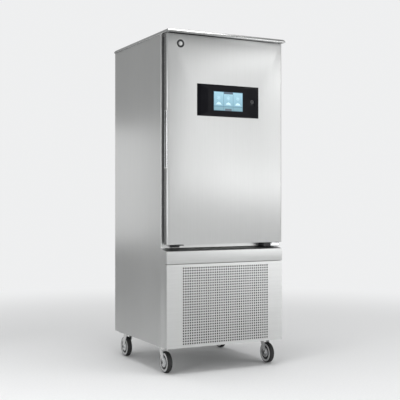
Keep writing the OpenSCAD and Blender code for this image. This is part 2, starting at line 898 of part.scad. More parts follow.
// A column of hairpin bends on a coil's end plate, each joining two rows of tubes
module hairpins(x, y, z, count, side) {
    for (i = [0 : count - 1]) translate([x, y, z + (2 * i + 0.5) * bend_pitch])
        rotate([0, side * 90, 0]) rotate([90, 0, 0]) rotate_extrude(angle = 180)
            translate([bend_pitch / 2, 0]) circle(tube_r, $fn = 24);
}

// Copper lines: compressor to condenser, receiver, drier, evaporator and back
module refrigerant_pipes() {
    x0 = cond_x0 - end_plate_t;
    x1 = cond_x0 + cond_w + end_plate_t;
    x_evap = x_coil + end_plate_t;
    x_turn = -x_evap - 22;
    x_fall = x_turn - 16;
    z_high = z_inlet + 2 * cond_bends * bend_pitch;
    z_outlet = z_liquid + (2 * evap_bends - 1) * bend_pitch;
    y_line = y_cond + cond_d / 2;
    y_mid = y_coil + evap_coil_d / 2;
    z_drier_top = drier_z + drier_h + 2 * drier_cone;
    comp_top = z_pan + mount_h + foot_plate_t + comp_h;
    color(copper) {
        pipe([[comp_x, comp_y, comp_top], [comp_x, comp_y, z_high], [x1 + loop_gap, comp_y, z_high],
            [x1 + loop_gap, y_line, z_high], [x1, y_line, z_high]], tube_r);
        pipe([[x0, y_line, z_inlet], [x0 - loop_gap, y_line, z_inlet], [x0 - loop_gap, receiver_y, z_inlet],
            [receiver_x - receiver_d / 2 - stub_l, receiver_y, z_inlet]], tube_r);
        pipe([[receiver_x, receiver_y, z_receiver_top], [receiver_x, receiver_y, drier_z - 30],
            [drier_x, receiver_y, drier_z - 30], [drier_x, receiver_y, drier_z]], tube_r);
        pipe([[drier_x, receiver_y, z_drier_top], [drier_x, receiver_y, z_drier_top + 40],
            [drier_x, y_rise, z_drier_top + 40], [drier_x, y_rise, z_liquid],
            [x_turn, y_rise, z_liquid], [x_turn, y_mid, z_liquid], [-x_evap, y_mid, z_liquid]], tube_r);
        pipe([[-x_evap, y_mid, z_outlet], [x_fall, y_mid, z_outlet], [x_fall, y_rise, z_outlet],
            [x_fall, y_rise, z_gas], [riser_x[1], y_rise, z_gas], [riser_x[1], y_rise, z_suction],
            [riser_x[1], comp_y, z_suction], [comp_x - comp_d / 2 - stub_l, comp_y, z_suction]], tube_r);
        hairpins(x_evap, y_mid, z_liquid, evap_bends, 1);
        hairpins(-x_evap, y_mid, z_liquid + bend_pitch, evap_bends - 1, -1);
        hairpins(x1, y_line, z_inlet, cond_bends, 1);
        hairpins(x0, y_line, z_inlet + bend_pitch, cond_bends, -1);
    }
}

module electrical_box() {
    z = z_base + box_rise;
    color(grey) block([-x_inner, -x_inner + box_d], [box_y, box_y + box_w], [z, z + box_h]);
}

module condensate_tray() {
    x = [comp_x - mount_dx - catch_gap - catch_w, comp_x - mount_dx - catch_gap];
    y = [y_drain - catch_l / 2, y_drain + catch_l / 2];
    color(black) difference() {
        block(x, y, [z_pan, z_tray_top]);
        block([x[0] + catch_t, x[1] - catch_t], [y[0] + catch_t, y[1] - catch_t],
            [z_pan + catch_t, z_tray_top + eps]);
    }
}

// Cable inlet in the base pan
module cable_gland() {
    color(black) difference() {
        union() {
            rod_z(gland_x, gland_y, z_base - 22, gland_r, 40);
            rod_z(gland_x, gland_y, z_base - 8, gland_r + 5, 8);
            rod_z(gland_x, gland_y, z_pan, gland_r + 5, 7);
        }
        rod_z(gland_x, gland_y, z_base - 30, 6, 60);
    }
}

// ---------------------------------------------------------------- door

// Outline of the door in plan, square at the back
module door_outline(inset, y1) {
    x = x_door - inset;
    difference() {
        round_rect([-x, x], [y_front + inset, y1 + 2 * door_r], door_r - inset);
        translate([-x - eps, y1]) square([2 * x + 2 * eps, 3 * door_r]);
    }
}

// The block that the handle's cup fills
module handle_space(grow, reach) {
    block([-x_door - 2 * eps, -x_door + reach + grow], [cup_y[0] - grow, cup_y[1] + grow],
        [handle_z - grow, handle_z + handle_h + grow]);
}

module control_space(grow) {
    block([glass_x0 - grow, glass_x0 + glass_w + grow], [y_front - eps, y_glass_back + housing_d + grow],
        [glass_z - grow, glass_z + glass_h + grow]);
}

module bush_holes(grow) {
    rod_z(hinge_x, hinge_y, z_door - eps, bush_d / 2 + grow, bush_l + eps);
    rod_z(hinge_x, hinge_y, z_door_top - bush_l, bush_d / 2 + grow, bush_l + eps);
}

module door_skin() {
    color(steel) difference() {
        translate([0, 0, z_door]) linear_extrude(door_h) door_outline(0, y_skin);
        translate([0, 0, z_door + sheet_t]) linear_extrude(door_h - 2 * sheet_t)
            door_outline(sheet_t, y_skin + eps);
        block([glass_x0 - gap, glass_x0 + glass_w + gap], [y_front - eps, y_front + 2 * sheet_t],
            [glass_z - gap, glass_z + glass_h + gap]);
        handle_space(gap, door_r);
        bush_holes(slip);
    }
}

// A [from, to] pair drawn in by the sheet's thickness
function inside(pair) = [pair[0] + sheet_t, pair[1] - sheet_t];

module door_insulation() {
    color(foam) difference() {
        union() {
            translate([0, 0, z_door + sheet_t]) linear_extrude(door_h - 2 * sheet_t)
                door_outline(sheet_t, y_skin);
            block(inside(plug_x), [y_skin - eps, plug_y - sheet_t], inside(plug_z));
        }
        handle_space(gap, handle_reach);
        control_space(gap);
        bush_holes(slip);
    }
}

// Black frame behind the skin that holds the seal
module door_inner_frame() {
    color(black) difference() {
        block([frame_x0, frame_x1], [y_skin, y_frame], [frame_z0, frame_z1]);
        block(plug_x, [y_skin - eps, y_frame + eps], plug_z);
    }
}

// Inner pan of the door, inside the black frame
module door_liner() {
    color(steel) difference() {
        block(plug_x, [y_skin, plug_y], plug_z);
        block(inside(plug_x), [y_skin - eps, plug_y - sheet_t], inside(plug_z));
    }
}

// Magnetic seal, just clear of the body's front
module door_gasket() {
    color(black) ring_slab([seal_x0, seal_x1], [y_frame, y_body - gap], [seal_z0, seal_z1], seal_w);
}

// Cup let into the door's free edge, with the gripping lip in front
module handle_cup() {
    x1 = -x_door + handle_reach - cup_t;
    z = [handle_z + cup_t, handle_z + handle_h - cup_t];
    color(bright) difference() {
        intersection() {
            handle_space(0, handle_reach);
            translate([0, 0, handle_z]) linear_extrude(handle_h) door_outline(-grip_proud, y_skin);
        }
        block([-x_door - 2 * eps, x1], [cup_y[0] + grip_w, cup_y[1] - cup_t], z);
        block([-x_door + 2 * cup_t, x1], [cup_y[0] + cup_t, cup_y[1] - cup_t], z);
    }
}

module control_glass() {
    color(black) difference() {
        round_slab([glass_x0, glass_x0 + glass_w], [y_glass, y_glass_back],
            [glass_z, glass_z + glass_h], 3);
        block([screen_x0 - gap, screen_x0 + screen_w + gap], [y_glass - eps, y_glass_back + eps],
            [screen_z0 - gap, screen_z0 + screen_h + gap]);
        rod_y(button_x, y_glass - eps, button_z, button_d / 2 + gap, glass_t + 2 * eps);
    }
}

module touch_screen() {
    color([0.45, 0.72, 0.86])
        block([screen_x0, screen_x0 + screen_w], [y_glass, y_glass_back],
            [screen_z0, screen_z0 + screen_h]);
}

// Plastic box behind the glass, with a guide for the button
module control_housing() {
    margin = 3;
    x = [glass_x0 + margin, glass_x0 + glass_w - margin];
    z = [glass_z + margin, glass_z + glass_h - margin];
    wall = housing_wall;
    color(black) difference() {
        block(x, [y_glass_back, y_glass_back + housing_d], z);
        block([x[0] + wall, x[1] - wall], [y_glass_back + wall, y_glass_back + housing_d - wall],
            [z[0] + wall, z[1] - wall]);
        rod_y(button_x, y_glass_back - eps, button_z, button_d / 2 + gap, wall + 2 * eps);
    }
}

// Push button; its stem ends one travel short of the housing's rear wall
module power_button() {
    color(dark_steel) union() {
        rod_y(button_x, y_glass - button_proud, button_z, button_d / 2, button_l);
        rod_y(button_x, y_glass, button_z, button_d / 4, stem_l);
    }
}

// Round badge with a sunken ring
module door_badge() {
    y = y_front - badge_t;
    color(bright) difference() {
        rod_y(badge_x, y, badge_z, badge_d / 2, badge_t);
        difference() {
            rod_y(badge_x, y - eps, badge_z, badge_d / 2 - 4, 1 + eps);
            rod_y(badge_x, y - 2 * eps, badge_z, badge_d / 2 - 16, badge_t + 2 * eps);
        }
    }
}

// Flanged bushes in the door's ends; the lower flange carries the door
module hinge_bushes() {
    color(black) {
        difference() {
            union() {
                rod_z(hinge_x, hinge_y, z_door, bush_d / 2, bush_l);
                rod_z(hinge_x, hinge_y, z_arm + gap, washer_d / 2, z_door - z_arm - gap);
            }
            rod_z(hinge_x, hinge_y, z_arm - eps, pin_d / 2 + slip, z_door - z_arm + bush_l - 1);
        }
        difference() {
            rod_z(hinge_x, hinge_y, z_door_top - bush_l, bush_d / 2, bush_l);
            rod_z(hinge_x, hinge_y, z_door_top - bush_l + 2, pin_d / 2 + slip, bush_l);
        }
    }
}

// ---------------------------------------------------------------- hinges and switch

module hinge_brackets() {
    y_plate = y_body - plate_back;
    color(bright) {
        difference() {
            union() {
                round_bar([arm_x0, arm_x1], [hinge_y - pin_d, y_body - 1], [z_arm - arm_h, z_arm], 6);
                block([arm_x0, x_side - 2], [y_plate, y_body], [z_arm - arm_h, z_arm]);
            }
            rod_z(hinge_x, hinge_y, z_arm - arm_h - eps, pin_d / 2 + slip, arm_h + 2 * eps);
        }
        difference() {
            union() {
                round_bar([hinge_x - 24, arm_x1], [hinge_y - pin_d, y_body - 1],
                    [z_upper_arm, z_upper_arm + upper_arm_t], 8);
                block([hinge_x - 24, x_side - 2], [y_plate, y_body],
                    [seal_z1 + 4, z_upper_arm + upper_arm_t]);
            }
            rod_z(hinge_x, hinge_y, z_upper_arm - eps, pin_d / 2 + slip, upper_arm_t + 2 * eps);
        }
    }
}

module hinge_pins() {
    color(bright) {
        rod_z(hinge_x, hinge_y, z_arm - arm_h, pin_d / 2, arm_h + 4 + pin_reach);
        rod_z(hinge_x, hinge_y, z_door_top - pin_reach, pin_d / 2,
            pin_reach + z_upper_arm - z_door_top + upper_arm_t);
    }
}

// Black cap over the lower bracket's screws
module hinge_cover() {
    color(black) round_bar([arm_x0 - 50, arm_x0], [hinge_y - 6, y_body], [z_arm - arm_h, z_arm], 3);
}

// Flat black door switch under the door's free corner
module door_switch() {
    x0 = -x_door + 56;
    color(black) union() {
        block([x0, x0 + 53], [y_front + 4, y_body], [z_door - 7, z_door - 2]);
        block([x0, x0 + 53], [y_body - 16, y_body], [z_door - 20, z_door - 2]);
    }
}

// ---------------------------------------------------------------- castors

// Top plates with their ball races and bolts
module castor_plates() {
    color(bright) at_castors() {
        difference() {
            union() {
                block([-plate_w / 2, plate_w / 2], [-plate_l / 2, plate_l / 2], [z_plate, z_base]);
                rod_z(0, 0, z_race, race_r, race_h + 1);
            }
            castor_bolt_holes(bolt_r + 0.2, z_plate - eps, plate_t + 2 * eps);
            rod_z(0, 0, z_race - eps, kingpin_r + slip, race_h + 2);
        }
        castor_bolt_holes(bolt_r, z_plate - bolt_head_h, bolt_l);
        castor_bolt_holes(bolt_head_r, z_plate - bolt_head_h, bolt_head_h - 0.1);
    }
}

// One leg of the fork, seen from the side
module leg_outline(trail) {
    difference() {
        union() {
            polygon([[-race_r, z_race - gap], [race_r, z_race - gap], [trail + 13, axle_z + 6],
                [trail + 11, axle_z - 8], [trail - 11, axle_z - 8], [trail - 13, axle_z + 6]]);
            translate([trail, axle_z]) circle(14);
        }
        translate([trail, axle_z]) circle(axle_d / 2 + slip);
    }
}

// Fork with its kingpin and the axle that its legs carry
module fork(trail) {
    top = z_race - gap;
    color(bright) {
        union() {
            for (x = [-leg_x - leg_t, leg_x]) along_x(x, x + leg_t) leg_outline(trail);
            block([-leg_x - leg_t, leg_x + leg_t], [-race_r, race_r], [top - crown_t, top]);
            rod_z(0, 0, top - 1, kingpin_r, race_h + 1);
        }
        translate([0, trail, axle_z]) union() {
            rod_x(-axle_end, 0, 0, axle_d / 2, 2 * axle_end);
            for (x = [-axle_end, axle_end - nut_t]) rod_x(x, 0, 0, axle_d / 2 + 3.5, nut_t);
        }
    }
}

// Profile of the wheel: boss, thin web and rim; x is the radius
module wheel_profile() {
    r_rim = wheel_d / 2 - tyre_t;
    translate([axle_d / 2 + slip, -tyre_w / 2 - 1]) square([8, tyre_w + 2]);
    translate([axle_d / 2 + 4, -4]) square([r_rim - axle_d / 2 - 8, 8]);
    translate([r_rim - 6, -tyre_w / 2 + 3]) square([6, tyre_w - 6]);
}

module wheel(trail) {
    color(grey) translate([0, trail, axle_z]) rotate([0, 90, 0]) rotate_extrude() wheel_profile();
}

// Tyre with round shoulders
module tyre(trail) {
    r = wheel_d / 2;
    color(dark_steel) translate([0, trail, axle_z]) rotate([0, 90, 0]) rotate_extrude()
        round_rect([r - tyre_t, r], [-tyre_w / 2, tyre_w / 2], 5);
}

module at_front_left() translate([-castor_x, castor_y_front, 0]) children();
module at_front_right() translate([castor_x, castor_y_front, 0]) children();
module at_rear_left() translate([-castor_x, castor_y_rear, 0]) children();
module at_rear_right() translate([castor_x, castor_y_rear, 0]) children();

// ---------------------------------------------------------------- assembly

side_panel();  // left_side_panel
mirror_to_right() side_panel();  // right_side_panel
rear_panel();
top_cover();
base_pan();
cabinet_insulation();
chamber_liner();
front_frame();
fascia_frame();
front_grille_panel();
tray_rack();  // left_tray_rack
mirror_to_right() tray_rack();  // right_tray_rack
air_baffle();
evaporator_coil();
evaporator_fan_motors();
evaporator_fan_guards();
evaporator_drip_tray();
compressor();
compressor_mounts();
condenser_coil();
condenser_shroud();
condenser_fan_motor();
liquid_receiver();
filter_drier();
refrigerant_pipes();
electrical_box();
condensate_tray();
cable_gland();
hinge_brackets();
hinge_pins();
hinge_cover();
door_switch();
castor_plates();
evaporator_fan(z_upper_fan);  // upper_evaporator_fan
evaporator_fan(z_lower_fan);  // lower_evaporator_fan
condenser_fan();
door_skin();
door_insulation();
door_inner_frame();
door_liner();
door_gasket();
handle_cup();
control_glass();
touch_screen();
control_housing();
door_badge();
hinge_bushes();
power_button();
at_front_left() fork(-castor_trail);  // front_left_fork
at_front_right() fork(-castor_trail);  // front_right_fork
at_rear_left() fork(castor_trail);  // rear_left_fork
at_rear_right() fork(castor_trail);  // rear_right_fork
at_front_left() wheel(-castor_trail);  // front_left_wheel
at_front_right() wheel(-castor_trail);  // front_right_wheel
at_rear_left() wheel(castor_trail);  // rear_left_wheel
at_rear_right() wheel(castor_trail);  // rear_right_wheel
at_front_left() tyre(-castor_trail);  // front_left_tyre
at_front_right() tyre(-castor_trail);  // front_right_tyre
at_rear_left() tyre(castor_trail);  // rear_left_tyre
at_rear_right() tyre(castor_trail);  // rear_right_tyre
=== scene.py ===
"""Looks of an upright stainless blast chiller with touch controls, on swivel castors.

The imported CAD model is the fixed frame. Every class below dresses one sub-assembly: it gives
the CAD nodes their finishes and soft edges, and builds the finer pieces that ride on them.
All sizes are in metres. +Z is up, the door faces -Y and is hinged at +X.
"""
from __future__ import annotations

import json
import logging
import math
from dataclasses import dataclass
from enum import Enum
from typing import Iterable, Sequence

import bmesh
import bpy
from mathutils import Matrix, Vector

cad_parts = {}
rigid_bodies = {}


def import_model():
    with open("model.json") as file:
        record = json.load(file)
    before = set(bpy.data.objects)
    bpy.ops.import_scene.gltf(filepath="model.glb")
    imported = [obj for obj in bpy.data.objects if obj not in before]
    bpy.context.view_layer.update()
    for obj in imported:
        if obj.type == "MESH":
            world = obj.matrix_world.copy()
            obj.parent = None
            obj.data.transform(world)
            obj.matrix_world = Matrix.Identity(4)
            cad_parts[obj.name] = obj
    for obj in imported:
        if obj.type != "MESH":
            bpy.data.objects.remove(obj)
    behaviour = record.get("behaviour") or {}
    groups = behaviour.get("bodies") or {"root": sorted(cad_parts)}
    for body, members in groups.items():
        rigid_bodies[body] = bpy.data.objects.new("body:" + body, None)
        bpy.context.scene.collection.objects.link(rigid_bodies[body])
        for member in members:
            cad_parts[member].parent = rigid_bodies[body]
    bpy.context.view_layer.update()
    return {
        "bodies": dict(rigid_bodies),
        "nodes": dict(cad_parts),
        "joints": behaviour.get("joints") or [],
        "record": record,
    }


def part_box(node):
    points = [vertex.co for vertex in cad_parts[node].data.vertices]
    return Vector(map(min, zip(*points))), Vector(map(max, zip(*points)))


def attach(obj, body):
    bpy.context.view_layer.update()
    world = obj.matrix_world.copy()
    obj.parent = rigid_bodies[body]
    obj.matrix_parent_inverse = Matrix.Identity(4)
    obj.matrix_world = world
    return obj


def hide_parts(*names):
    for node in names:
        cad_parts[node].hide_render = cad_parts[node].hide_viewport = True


LOG = logging.getLogger("blast_chiller")
Triple = tuple[float, float, float]
Pair = tuple[float, float]
Socket = bpy.types.NodeSocket
Material = bpy.types.Material


# ------------------------------------------------------------------ node graphs


class Tree:
    """A node tree, with short calls for the nodes used often."""

    def __init__(self, tree: bpy.types.NodeTree) -> None:
        """Keep the tree that takes the nodes."""
        self.tree = tree

    def add(self, kind: str, **settings: object) -> bpy.types.Node:
        """Add a node.

        Args:
            kind: The node's type name.
            **settings: Attributes to set on it.

        Returns:
            The new node.
        """
        node = self.tree.nodes.new(kind)
        for key, value in settings.items():
            setattr(node, key, value)
        return node

    def link(self, source: Socket, target: Socket) -> None:
        """Join an output to an input."""
        self.tree.links.new(source, target)

    def ramp(self, value: Socket, stops: Sequence[tuple[float, Triple]]) -> Socket:
        """Turn a value into a colour.

        Args:
            value: The value, from 0 to 1.
            stops: Place and colour of each stop, in order.

        Returns:
            The colour.
        """
        node = self.add("ShaderNodeValToRGB")
        marks = node.color_ramp.elements
        while len(marks) < len(stops):
            marks.new(0.5)
        for mark, (place, colour) in zip(marks, stops):
            mark.position = place
            mark.color = (*colour, 1.0)
        self.link(value, node.inputs["Fac"])
        return node.outputs["Color"]

    def spread(
        self, value: Socket, low: float, high: float, start: float = 0.0, stop: float = 1.0
    ) -> Socket:
        """Map a value to another range.

        Args:
            value: The value.
            low: Result at start.
            high: Result at stop.
            start: Where the value's own range begins.
            stop: Where it ends.

        Returns:
            The mapped value.
        """
        node = self.add("ShaderNodeMapRange")
        keys = ("From Min", "From Max", "To Min", "To Max")
        for key, number in zip(keys, (start, stop, low, high)):
            node.inputs[key].default_value = number
        self.link(value, node.inputs["Value"])
        return node.outputs["Result"]

    def mix(
        self, share: Socket, first: bpy.types.Node, second: bpy.types.Node, target: Socket
    ) -> None:
        """Show a mixture of two shaders.

        Args:
            share: How much of the second is seen.
            first: Node of the first shader.
            second: Node of the second shader.
            target: Input that takes the mixture.
        """
        node = self.add("ShaderNodeMixShader")
        self.link(share, node.inputs["Fac"])
        self.link(first.outputs[0], node.inputs[1])
        self.link(second.outputs[0], node.inputs[2])
        self.link(node.outputs[0], target)


class Graph(Tree):
    """The node tree of one material with a Principled shader."""

    def __init__(self, name: str) -> None:
        """Start a material.

        Args:
            name: The material's name.
        """
        self.material = bpy.data.materials.new(name)
        self.material.use_nodes = True
        super().__init__(self.material.node_tree)
        self.shader = self.tree.nodes["Principled BSDF"]
        self.place = self.add("ShaderNodeTexCoord").outputs["Object"]

    def put(self, **values: object) -> None:
        """Set values on the shader's own sockets, with underscores for spaces."""
        for key, value in values.items():
            self.shader.inputs[key.replace("_", " ")].default_value = value

    def stretched(self, scale: Triple) -> Socket:
        """Scale the object's coordinates.

        Args:
            scale: Factor along each axis.

        Returns:
            The scaled coordinates.
        """
        node = self.add("ShaderNodeMapping")
        node.inputs["Scale"].default_value = scale
        self.link(self.place, node.inputs["Vector"])
        return node.outputs["Vector"]

    def noise(
        self, vector: Socket, scale: float, detail: float = 2.0, rough: float = 0.5
    ) -> Socket:
        """Add a noise texture.

        Args:
            vector: Where it is read.
            scale: Its size; larger is finer.
            detail: Number of finer layers.
            rough: Strength of the finer layers.

        Returns:
            The noise as a value.
        """
        node = self.add("ShaderNodeTexNoise")
        node.inputs["Scale"].default_value = scale
        node.inputs["Detail"].default_value = detail
        node.inputs["Roughness"].default_value = rough
        self.link(vector, node.inputs["Vector"])
        return node.outputs["Fac"]

    def blend(
        self, first: Socket, second: Socket, share: float, mode: str = "MULTIPLY"
    ) -> Socket:
        """Mix two colours.

        Args:
            first: The colour below.
            second: The colour above.
            share: How much of the mixture is used.
            mode: Blender's name of the blend.

        Returns:
            The mixed colour.
        """
        node = self.add("ShaderNodeMix", data_type="RGBA", blend_type=mode)
        node.inputs["Factor"].default_value = share
        colours = [socket for socket in node.inputs if socket.type == "RGBA"]
        self.link(first, colours[0])
        self.link(second, colours[1])
        return next(socket for socket in node.outputs if socket.type == "RGBA")

    def bump(self, height: Socket, strength: float, distance: float) -> None:
        """Raise the surface by a height map.

        Args:
            height: The map.
            strength: How much of it shows, from 0 to 1.
            distance: Height of its full range, in metres.
        """
        node = self.add("ShaderNodeBump")
        node.inputs["Strength"].default_value = strength
        node.inputs["Distance"].default_value = distance
        self.link(height, node.inputs["Height"])
        self.link(node.outputs["Normal"], self.shader.inputs["Normal"])


def shade(colour: Triple, factor: float) -> Triple:
    """Return the colour made lighter or darker by a factor."""
    return tuple(min(1.0, part * factor) for part in colour)


def polar(radius: float, angle: float) -> Pair:
    """Return the point at a radius and an angle in radians."""
    return (radius * math.cos(angle), radius * math.sin(angle))


def spaced(start: float, length: float, margin: float, count: int) -> list[float]:
    """Return evenly spaced places along a length, with a margin at both ends."""
    return [start + margin + i * (length - 2 * margin) / (count - 1) for i in range(count)]


def circle(radius: float, steps: int) -> list[Pair]:
    """Return evenly spaced points on a circle round the origin."""
    return [polar(radius, math.tau * k / steps) for k in range(steps)]


# ------------------------------------------------------------------ finishes


class Grain(Enum):
    """Which way the brush marks of a sheet run, as a stretch along each axis."""

    UP = (1.0, 1.0, 0.012)
    ACROSS = (0.012, 1.0, 1.0)


@dataclass(frozen=True)
class BrushedSteel:
    """Brushed stainless sheet with fine marks, faint smears and a soft sheen."""

    name: str
    grain: Grain
    tint: Triple = (0.617, 0.624, 0.622)
    roughness: float = 0.38
    marks: float = 0.030

    def build(self) -> Material:
        """Build the finish.

        Returns:
            The material.
        """
        g = Graph(self.name)
        marks = g.stretched(self.grain.value)
        fine = g.noise(marks, 1700.0, 3.0, 0.65)
        broad = g.noise(marks, 140.0, 2.0)
        smear = g.noise(g.place, 2.6, 3.0, 0.6)
        light, dark = 1.0 + self.marks, 1.0 - self.marks
        tone = g.ramp(fine, ((0.30, shade(self.tint, dark)), (0.70, shade(self.tint, light))))
        bands = g.ramp(broad, ((0.35, (1.0 - 0.6 * self.marks,) * 3), (0.65, (1.0,) * 3)))
        cloud = g.ramp(smear, ((0.35, (0.97,) * 3), (0.70, (1.0,) * 3)))
        g.link(g.blend(g.blend(tone, bands, 1.0), cloud, 1.0), g.shader.inputs["Base Color"])
        mixed = g.add("ShaderNodeMath", operation="MULTIPLY_ADD")
        mixed.inputs[1].default_value = 0.45
        g.link(smear, mixed.inputs[0])
        g.link(fine, mixed.inputs[2])
        g.link(
            g.spread(mixed.outputs[0], self.roughness - 0.04, self.roughness + 0.06, 0.4, 1.0),
            g.shader.inputs["Roughness"],
        )
        g.bump(fine, 0.10, 0.0001)
        g.put(Metallic=1.0, Anisotropic=0.35)
        return g.material


@dataclass(frozen=True)
class BrightSteel:
    """Bright or plated steel with hairline scratches and small dull spots."""

    name: str
    tint: Triple = (0.80, 0.81, 0.82)
    roughness: float = 0.16
    mottle: float = 0.05

    def build(self) -> Material:
        """Build the finish.

        Returns:
            The material.
        """
        g = Graph(self.name)
        spots = g.noise(g.place, 60.0, 4.0, 0.6)
        hair = g.noise(g.stretched((1.0, 0.05, 1.0)), 2400.0, 2.0)
        tone = g.ramp(spots, ((0.30, shade(self.tint, 1.0 - 2 * self.mottle)), (0.65, self.tint)))
        lines = g.ramp(hair, ((0.35, (0.94,) * 3), (0.60, (1.0,) * 3)))
        g.link(g.blend(tone, lines, 0.8), g.shader.inputs["Base Color"])
        g.link(
            g.spread(spots, self.roughness - 0.05, self.roughness + 0.12, 0.3, 0.8),
            g.shader.inputs["Roughness"],
        )
        g.bump(hair, 0.10, 0.0001)
        g.put(Metallic=1.0)
        return g.material


@dataclass(frozen=True)
class Moulded:
    """Moulded plastic, rubber or paint with a fine skin texture and dusty highs."""

    name: str
    colour: Triple
    roughness: float = 0.5
    skin: float = 900.0
    relief: float = 0.25
    gloss: float = 0.5
    wear: float = 0.25

    def build(self) -> Material:
        """Build the finish.

        Returns:
            The material.
        """
        g = Graph(self.name)
        pebble = g.noise(g.place, self.skin, 3.0, 0.55)
        cloud = g.noise(g.place, 14.0, 3.0, 0.6)
        low, high = shade(self.colour, 0.85), shade(self.colour, 1.0 + self.wear)
        tone = g.ramp(cloud, ((0.30, low), (0.55, self.colour), (0.80, high)))
        grain = g.ramp(pebble, ((0.30, (0.90,) * 3), (0.60, (1.0,) * 3)))
        g.link(g.blend(tone, grain, 0.7), g.shader.inputs["Base Color"])
        g.link(
            g.spread(cloud, self.roughness - 0.08, self.roughness + 0.10, 0.3, 0.75),
            g.shader.inputs["Roughness"],
        )
        g.bump(pebble, self.relief, 0.0002)
        g.put(Specular_IOR_Level=self.gloss)
        return g.material


@dataclass(frozen=True)
class DarkGlass:
    """Back-printed glass: a deep colour under a glossy face with faint wipe marks."""

    name: str
    colour: Triple
    gloss: float = 0.08

    def build(self) -> Material:
        """Build the finish.

        Returns:
            The material.
        """
        g = Graph(self.name)
        cloud = g.noise(g.place, 9.0, 3.0, 0.6)
        wipes = g.noise(g.stretched((0.6, 1.0, 3.0)), 55.0, 3.0, 0.7)
        tone = g.ramp(cloud, ((0.30, shade(self.colour, 0.8)), (0.75, shade(self.colour, 1.3))))
        g.link(tone, g.shader.inputs["Base Color"])
        g.link(g.spread(wipes, 0.04, 0.15, 0.35, 0.85), g.shader.inputs["Roughness"])
        g.put(Specular_IOR_Level=self.gloss)
        return g.material


@dataclass(frozen=True)
class Lit:
    """A lit area of the display, with the fine raster of its picture elements."""

    name: str
    low: Triple
    high: Triple
    bottom: float
    top: float
    glow: float = 0.75

    def build(self) -> Material:
        """Build the finish.

        Returns:
            The material.
        """
        g = Graph(self.name)
        split = g.add("ShaderNodeSeparateXYZ")
        g.link(g.place, split.inputs[0])
        height = g.spread(split.outputs["Z"], 0.0, 1.0, self.bottom, self.top)
        tone = g.ramp(height, ((0.0, self.low), (1.0, self.high)))
        raster = g.add("ShaderNodeTexChecker")
        raster.inputs["Scale"].default_value = 3200.0
        raster.inputs["Color1"].default_value = (1.0, 1.0, 1.0, 1.0)
        raster.inputs["Color2"].default_value = (0.90, 0.92, 0.95, 1.0)
        g.link(g.place, raster.inputs["Vector"])
        picture = g.blend(tone, raster.outputs["Color"], 0.7)
        g.link(picture, g.shader.inputs["Emission Color"])
        g.link(g.blend(picture, picture, 1.0), g.shader.inputs["Base Color"])
        g.put(Emission_Strength=self.glow, Roughness=0.18)
        return g.material


@dataclass(frozen=True)
class FinStock:
    """Thin aluminium fins with a slight ripple and dull oxide bloom."""

    name: str
    tint: Triple = (0.72, 0.73, 0.75)

    def build(self) -> Material:
        """Build the finish.

        Returns:
            The material.
        """
        g = Graph(self.name)
        bloom = g.noise(g.place, 22.0, 4.0, 0.6)
        ripple = g.noise(g.stretched((1.0, 1.0, 0.15)), 420.0, 2.0)
        tone = g.ramp(bloom, ((0.30, shade(self.tint, 0.82)), (0.70, self.tint)))
        g.link(tone, g.shader.inputs["Base Color"])
        g.link(g.spread(bloom, 0.30, 0.50, 0.3, 0.7), g.shader.inputs["Roughness"])
        g.bump(ripple, 0.3, 0.0004)
        g.put(Metallic=1.0)
        return g.material


@dataclass(frozen=True)
class Foam:
    """Cut polyurethane foam with small cells."""

    name: str
    colour: Triple = (0.80, 0.72, 0.48)

    def build(self) -> Material:
        """Build the finish.

        Returns:
            The material.
        """
        g = Graph(self.name)
        cells = g.add("ShaderNodeTexVoronoi")
        cells.inputs["Scale"].default_value = 420.0
        g.link(g.place, cells.inputs["Vector"])
        cloud = g.noise(g.place, 12.0, 3.0)
        tone = g.ramp(cloud, ((0.30, shade(self.colour, 0.85)), (0.75, shade(self.colour, 1.08))))
        pores = g.ramp(cells.outputs["Distance"], ((0.10, (0.82,) * 3), (0.45, (1.0,) * 3)))
        g.link(g.blend(tone, pores, 1.0), g.shader.inputs["Base Color"])
        g.bump(cells.outputs["Distance"], 0.5, 0.0006)
        g.put(Roughness=0.92, Specular_IOR_Level=0.2)
        return g.material


class Palette:
    """Every finish of the machine, built once."""

    def __init__(self) -> None:
        """Build the materials."""
        self.upright = BrushedSteel("steel_upright_grain", Grain.UP).build()
        self.level = BrushedSteel("steel_level_grain", Grain.ACROSS, marks=0.05).build()
        # Top cover: a darker, smoother copy of the side steel, painted shade on the cover's lip and
        # top.
        self.cover = BrushedSteel("steel_cover_shaded", Grain.ACROSS, (0.55, 0.556, 0.554), 0.22).build()
        self.lining = BrushedSteel("steel_lining", Grain.UP, (0.66, 0.665, 0.67), 0.26).build()
        self.bright = BrightSteel("steel_bright").build()
        self.zinc = BrightSteel("zinc_plate", (0.83, 0.835, 0.835), 0.40, 0.06).build()
        self.copper = BrightSteel("copper_tube", (0.86, 0.50, 0.36), 0.26, 0.12).build()
        self.black_paint = Moulded("paint_black", (0.025, 0.025, 0.028), 0.38, 500.0).build()
        self.black_plastic = Moulded("plastic_black", (0.018, 0.018, 0.020), 0.48).build()
        self.grey_plastic = Moulded("plastic_grey", (0.20, 0.205, 0.21), 0.45).build()
        self.edge_plastic = Moulded("plastic_edge", (0.095, 0.097, 0.10), 0.42).build()
        self.wheel_plastic = Moulded("plastic_wheel", (0.50, 0.505, 0.51), 0.33).build()
        self.rubber = Moulded("rubber_black", (0.016, 0.016, 0.017), 0.62, 700.0, 0.35).build()
        self.tyre = Moulded("rubber_tyre", (0.017, 0.017, 0.018), 0.62, 800.0, 0.4).build()
        self.glass = DarkGlass("glass_black", (0.006, 0.006, 0.008)).build()
        self.fins = FinStock("fins").build()
        # Condenser fins: aluminium darkened almost to black, painted shade inside the machine bay
        # behind the grille.
        self.shaded_fins = FinStock("fins_painted_shade", tint=(0.10, 0.10, 0.105)).build()
        self.foam = Foam("foam_cut").build()


# ------------------------------------------------------------------ mesh helpers


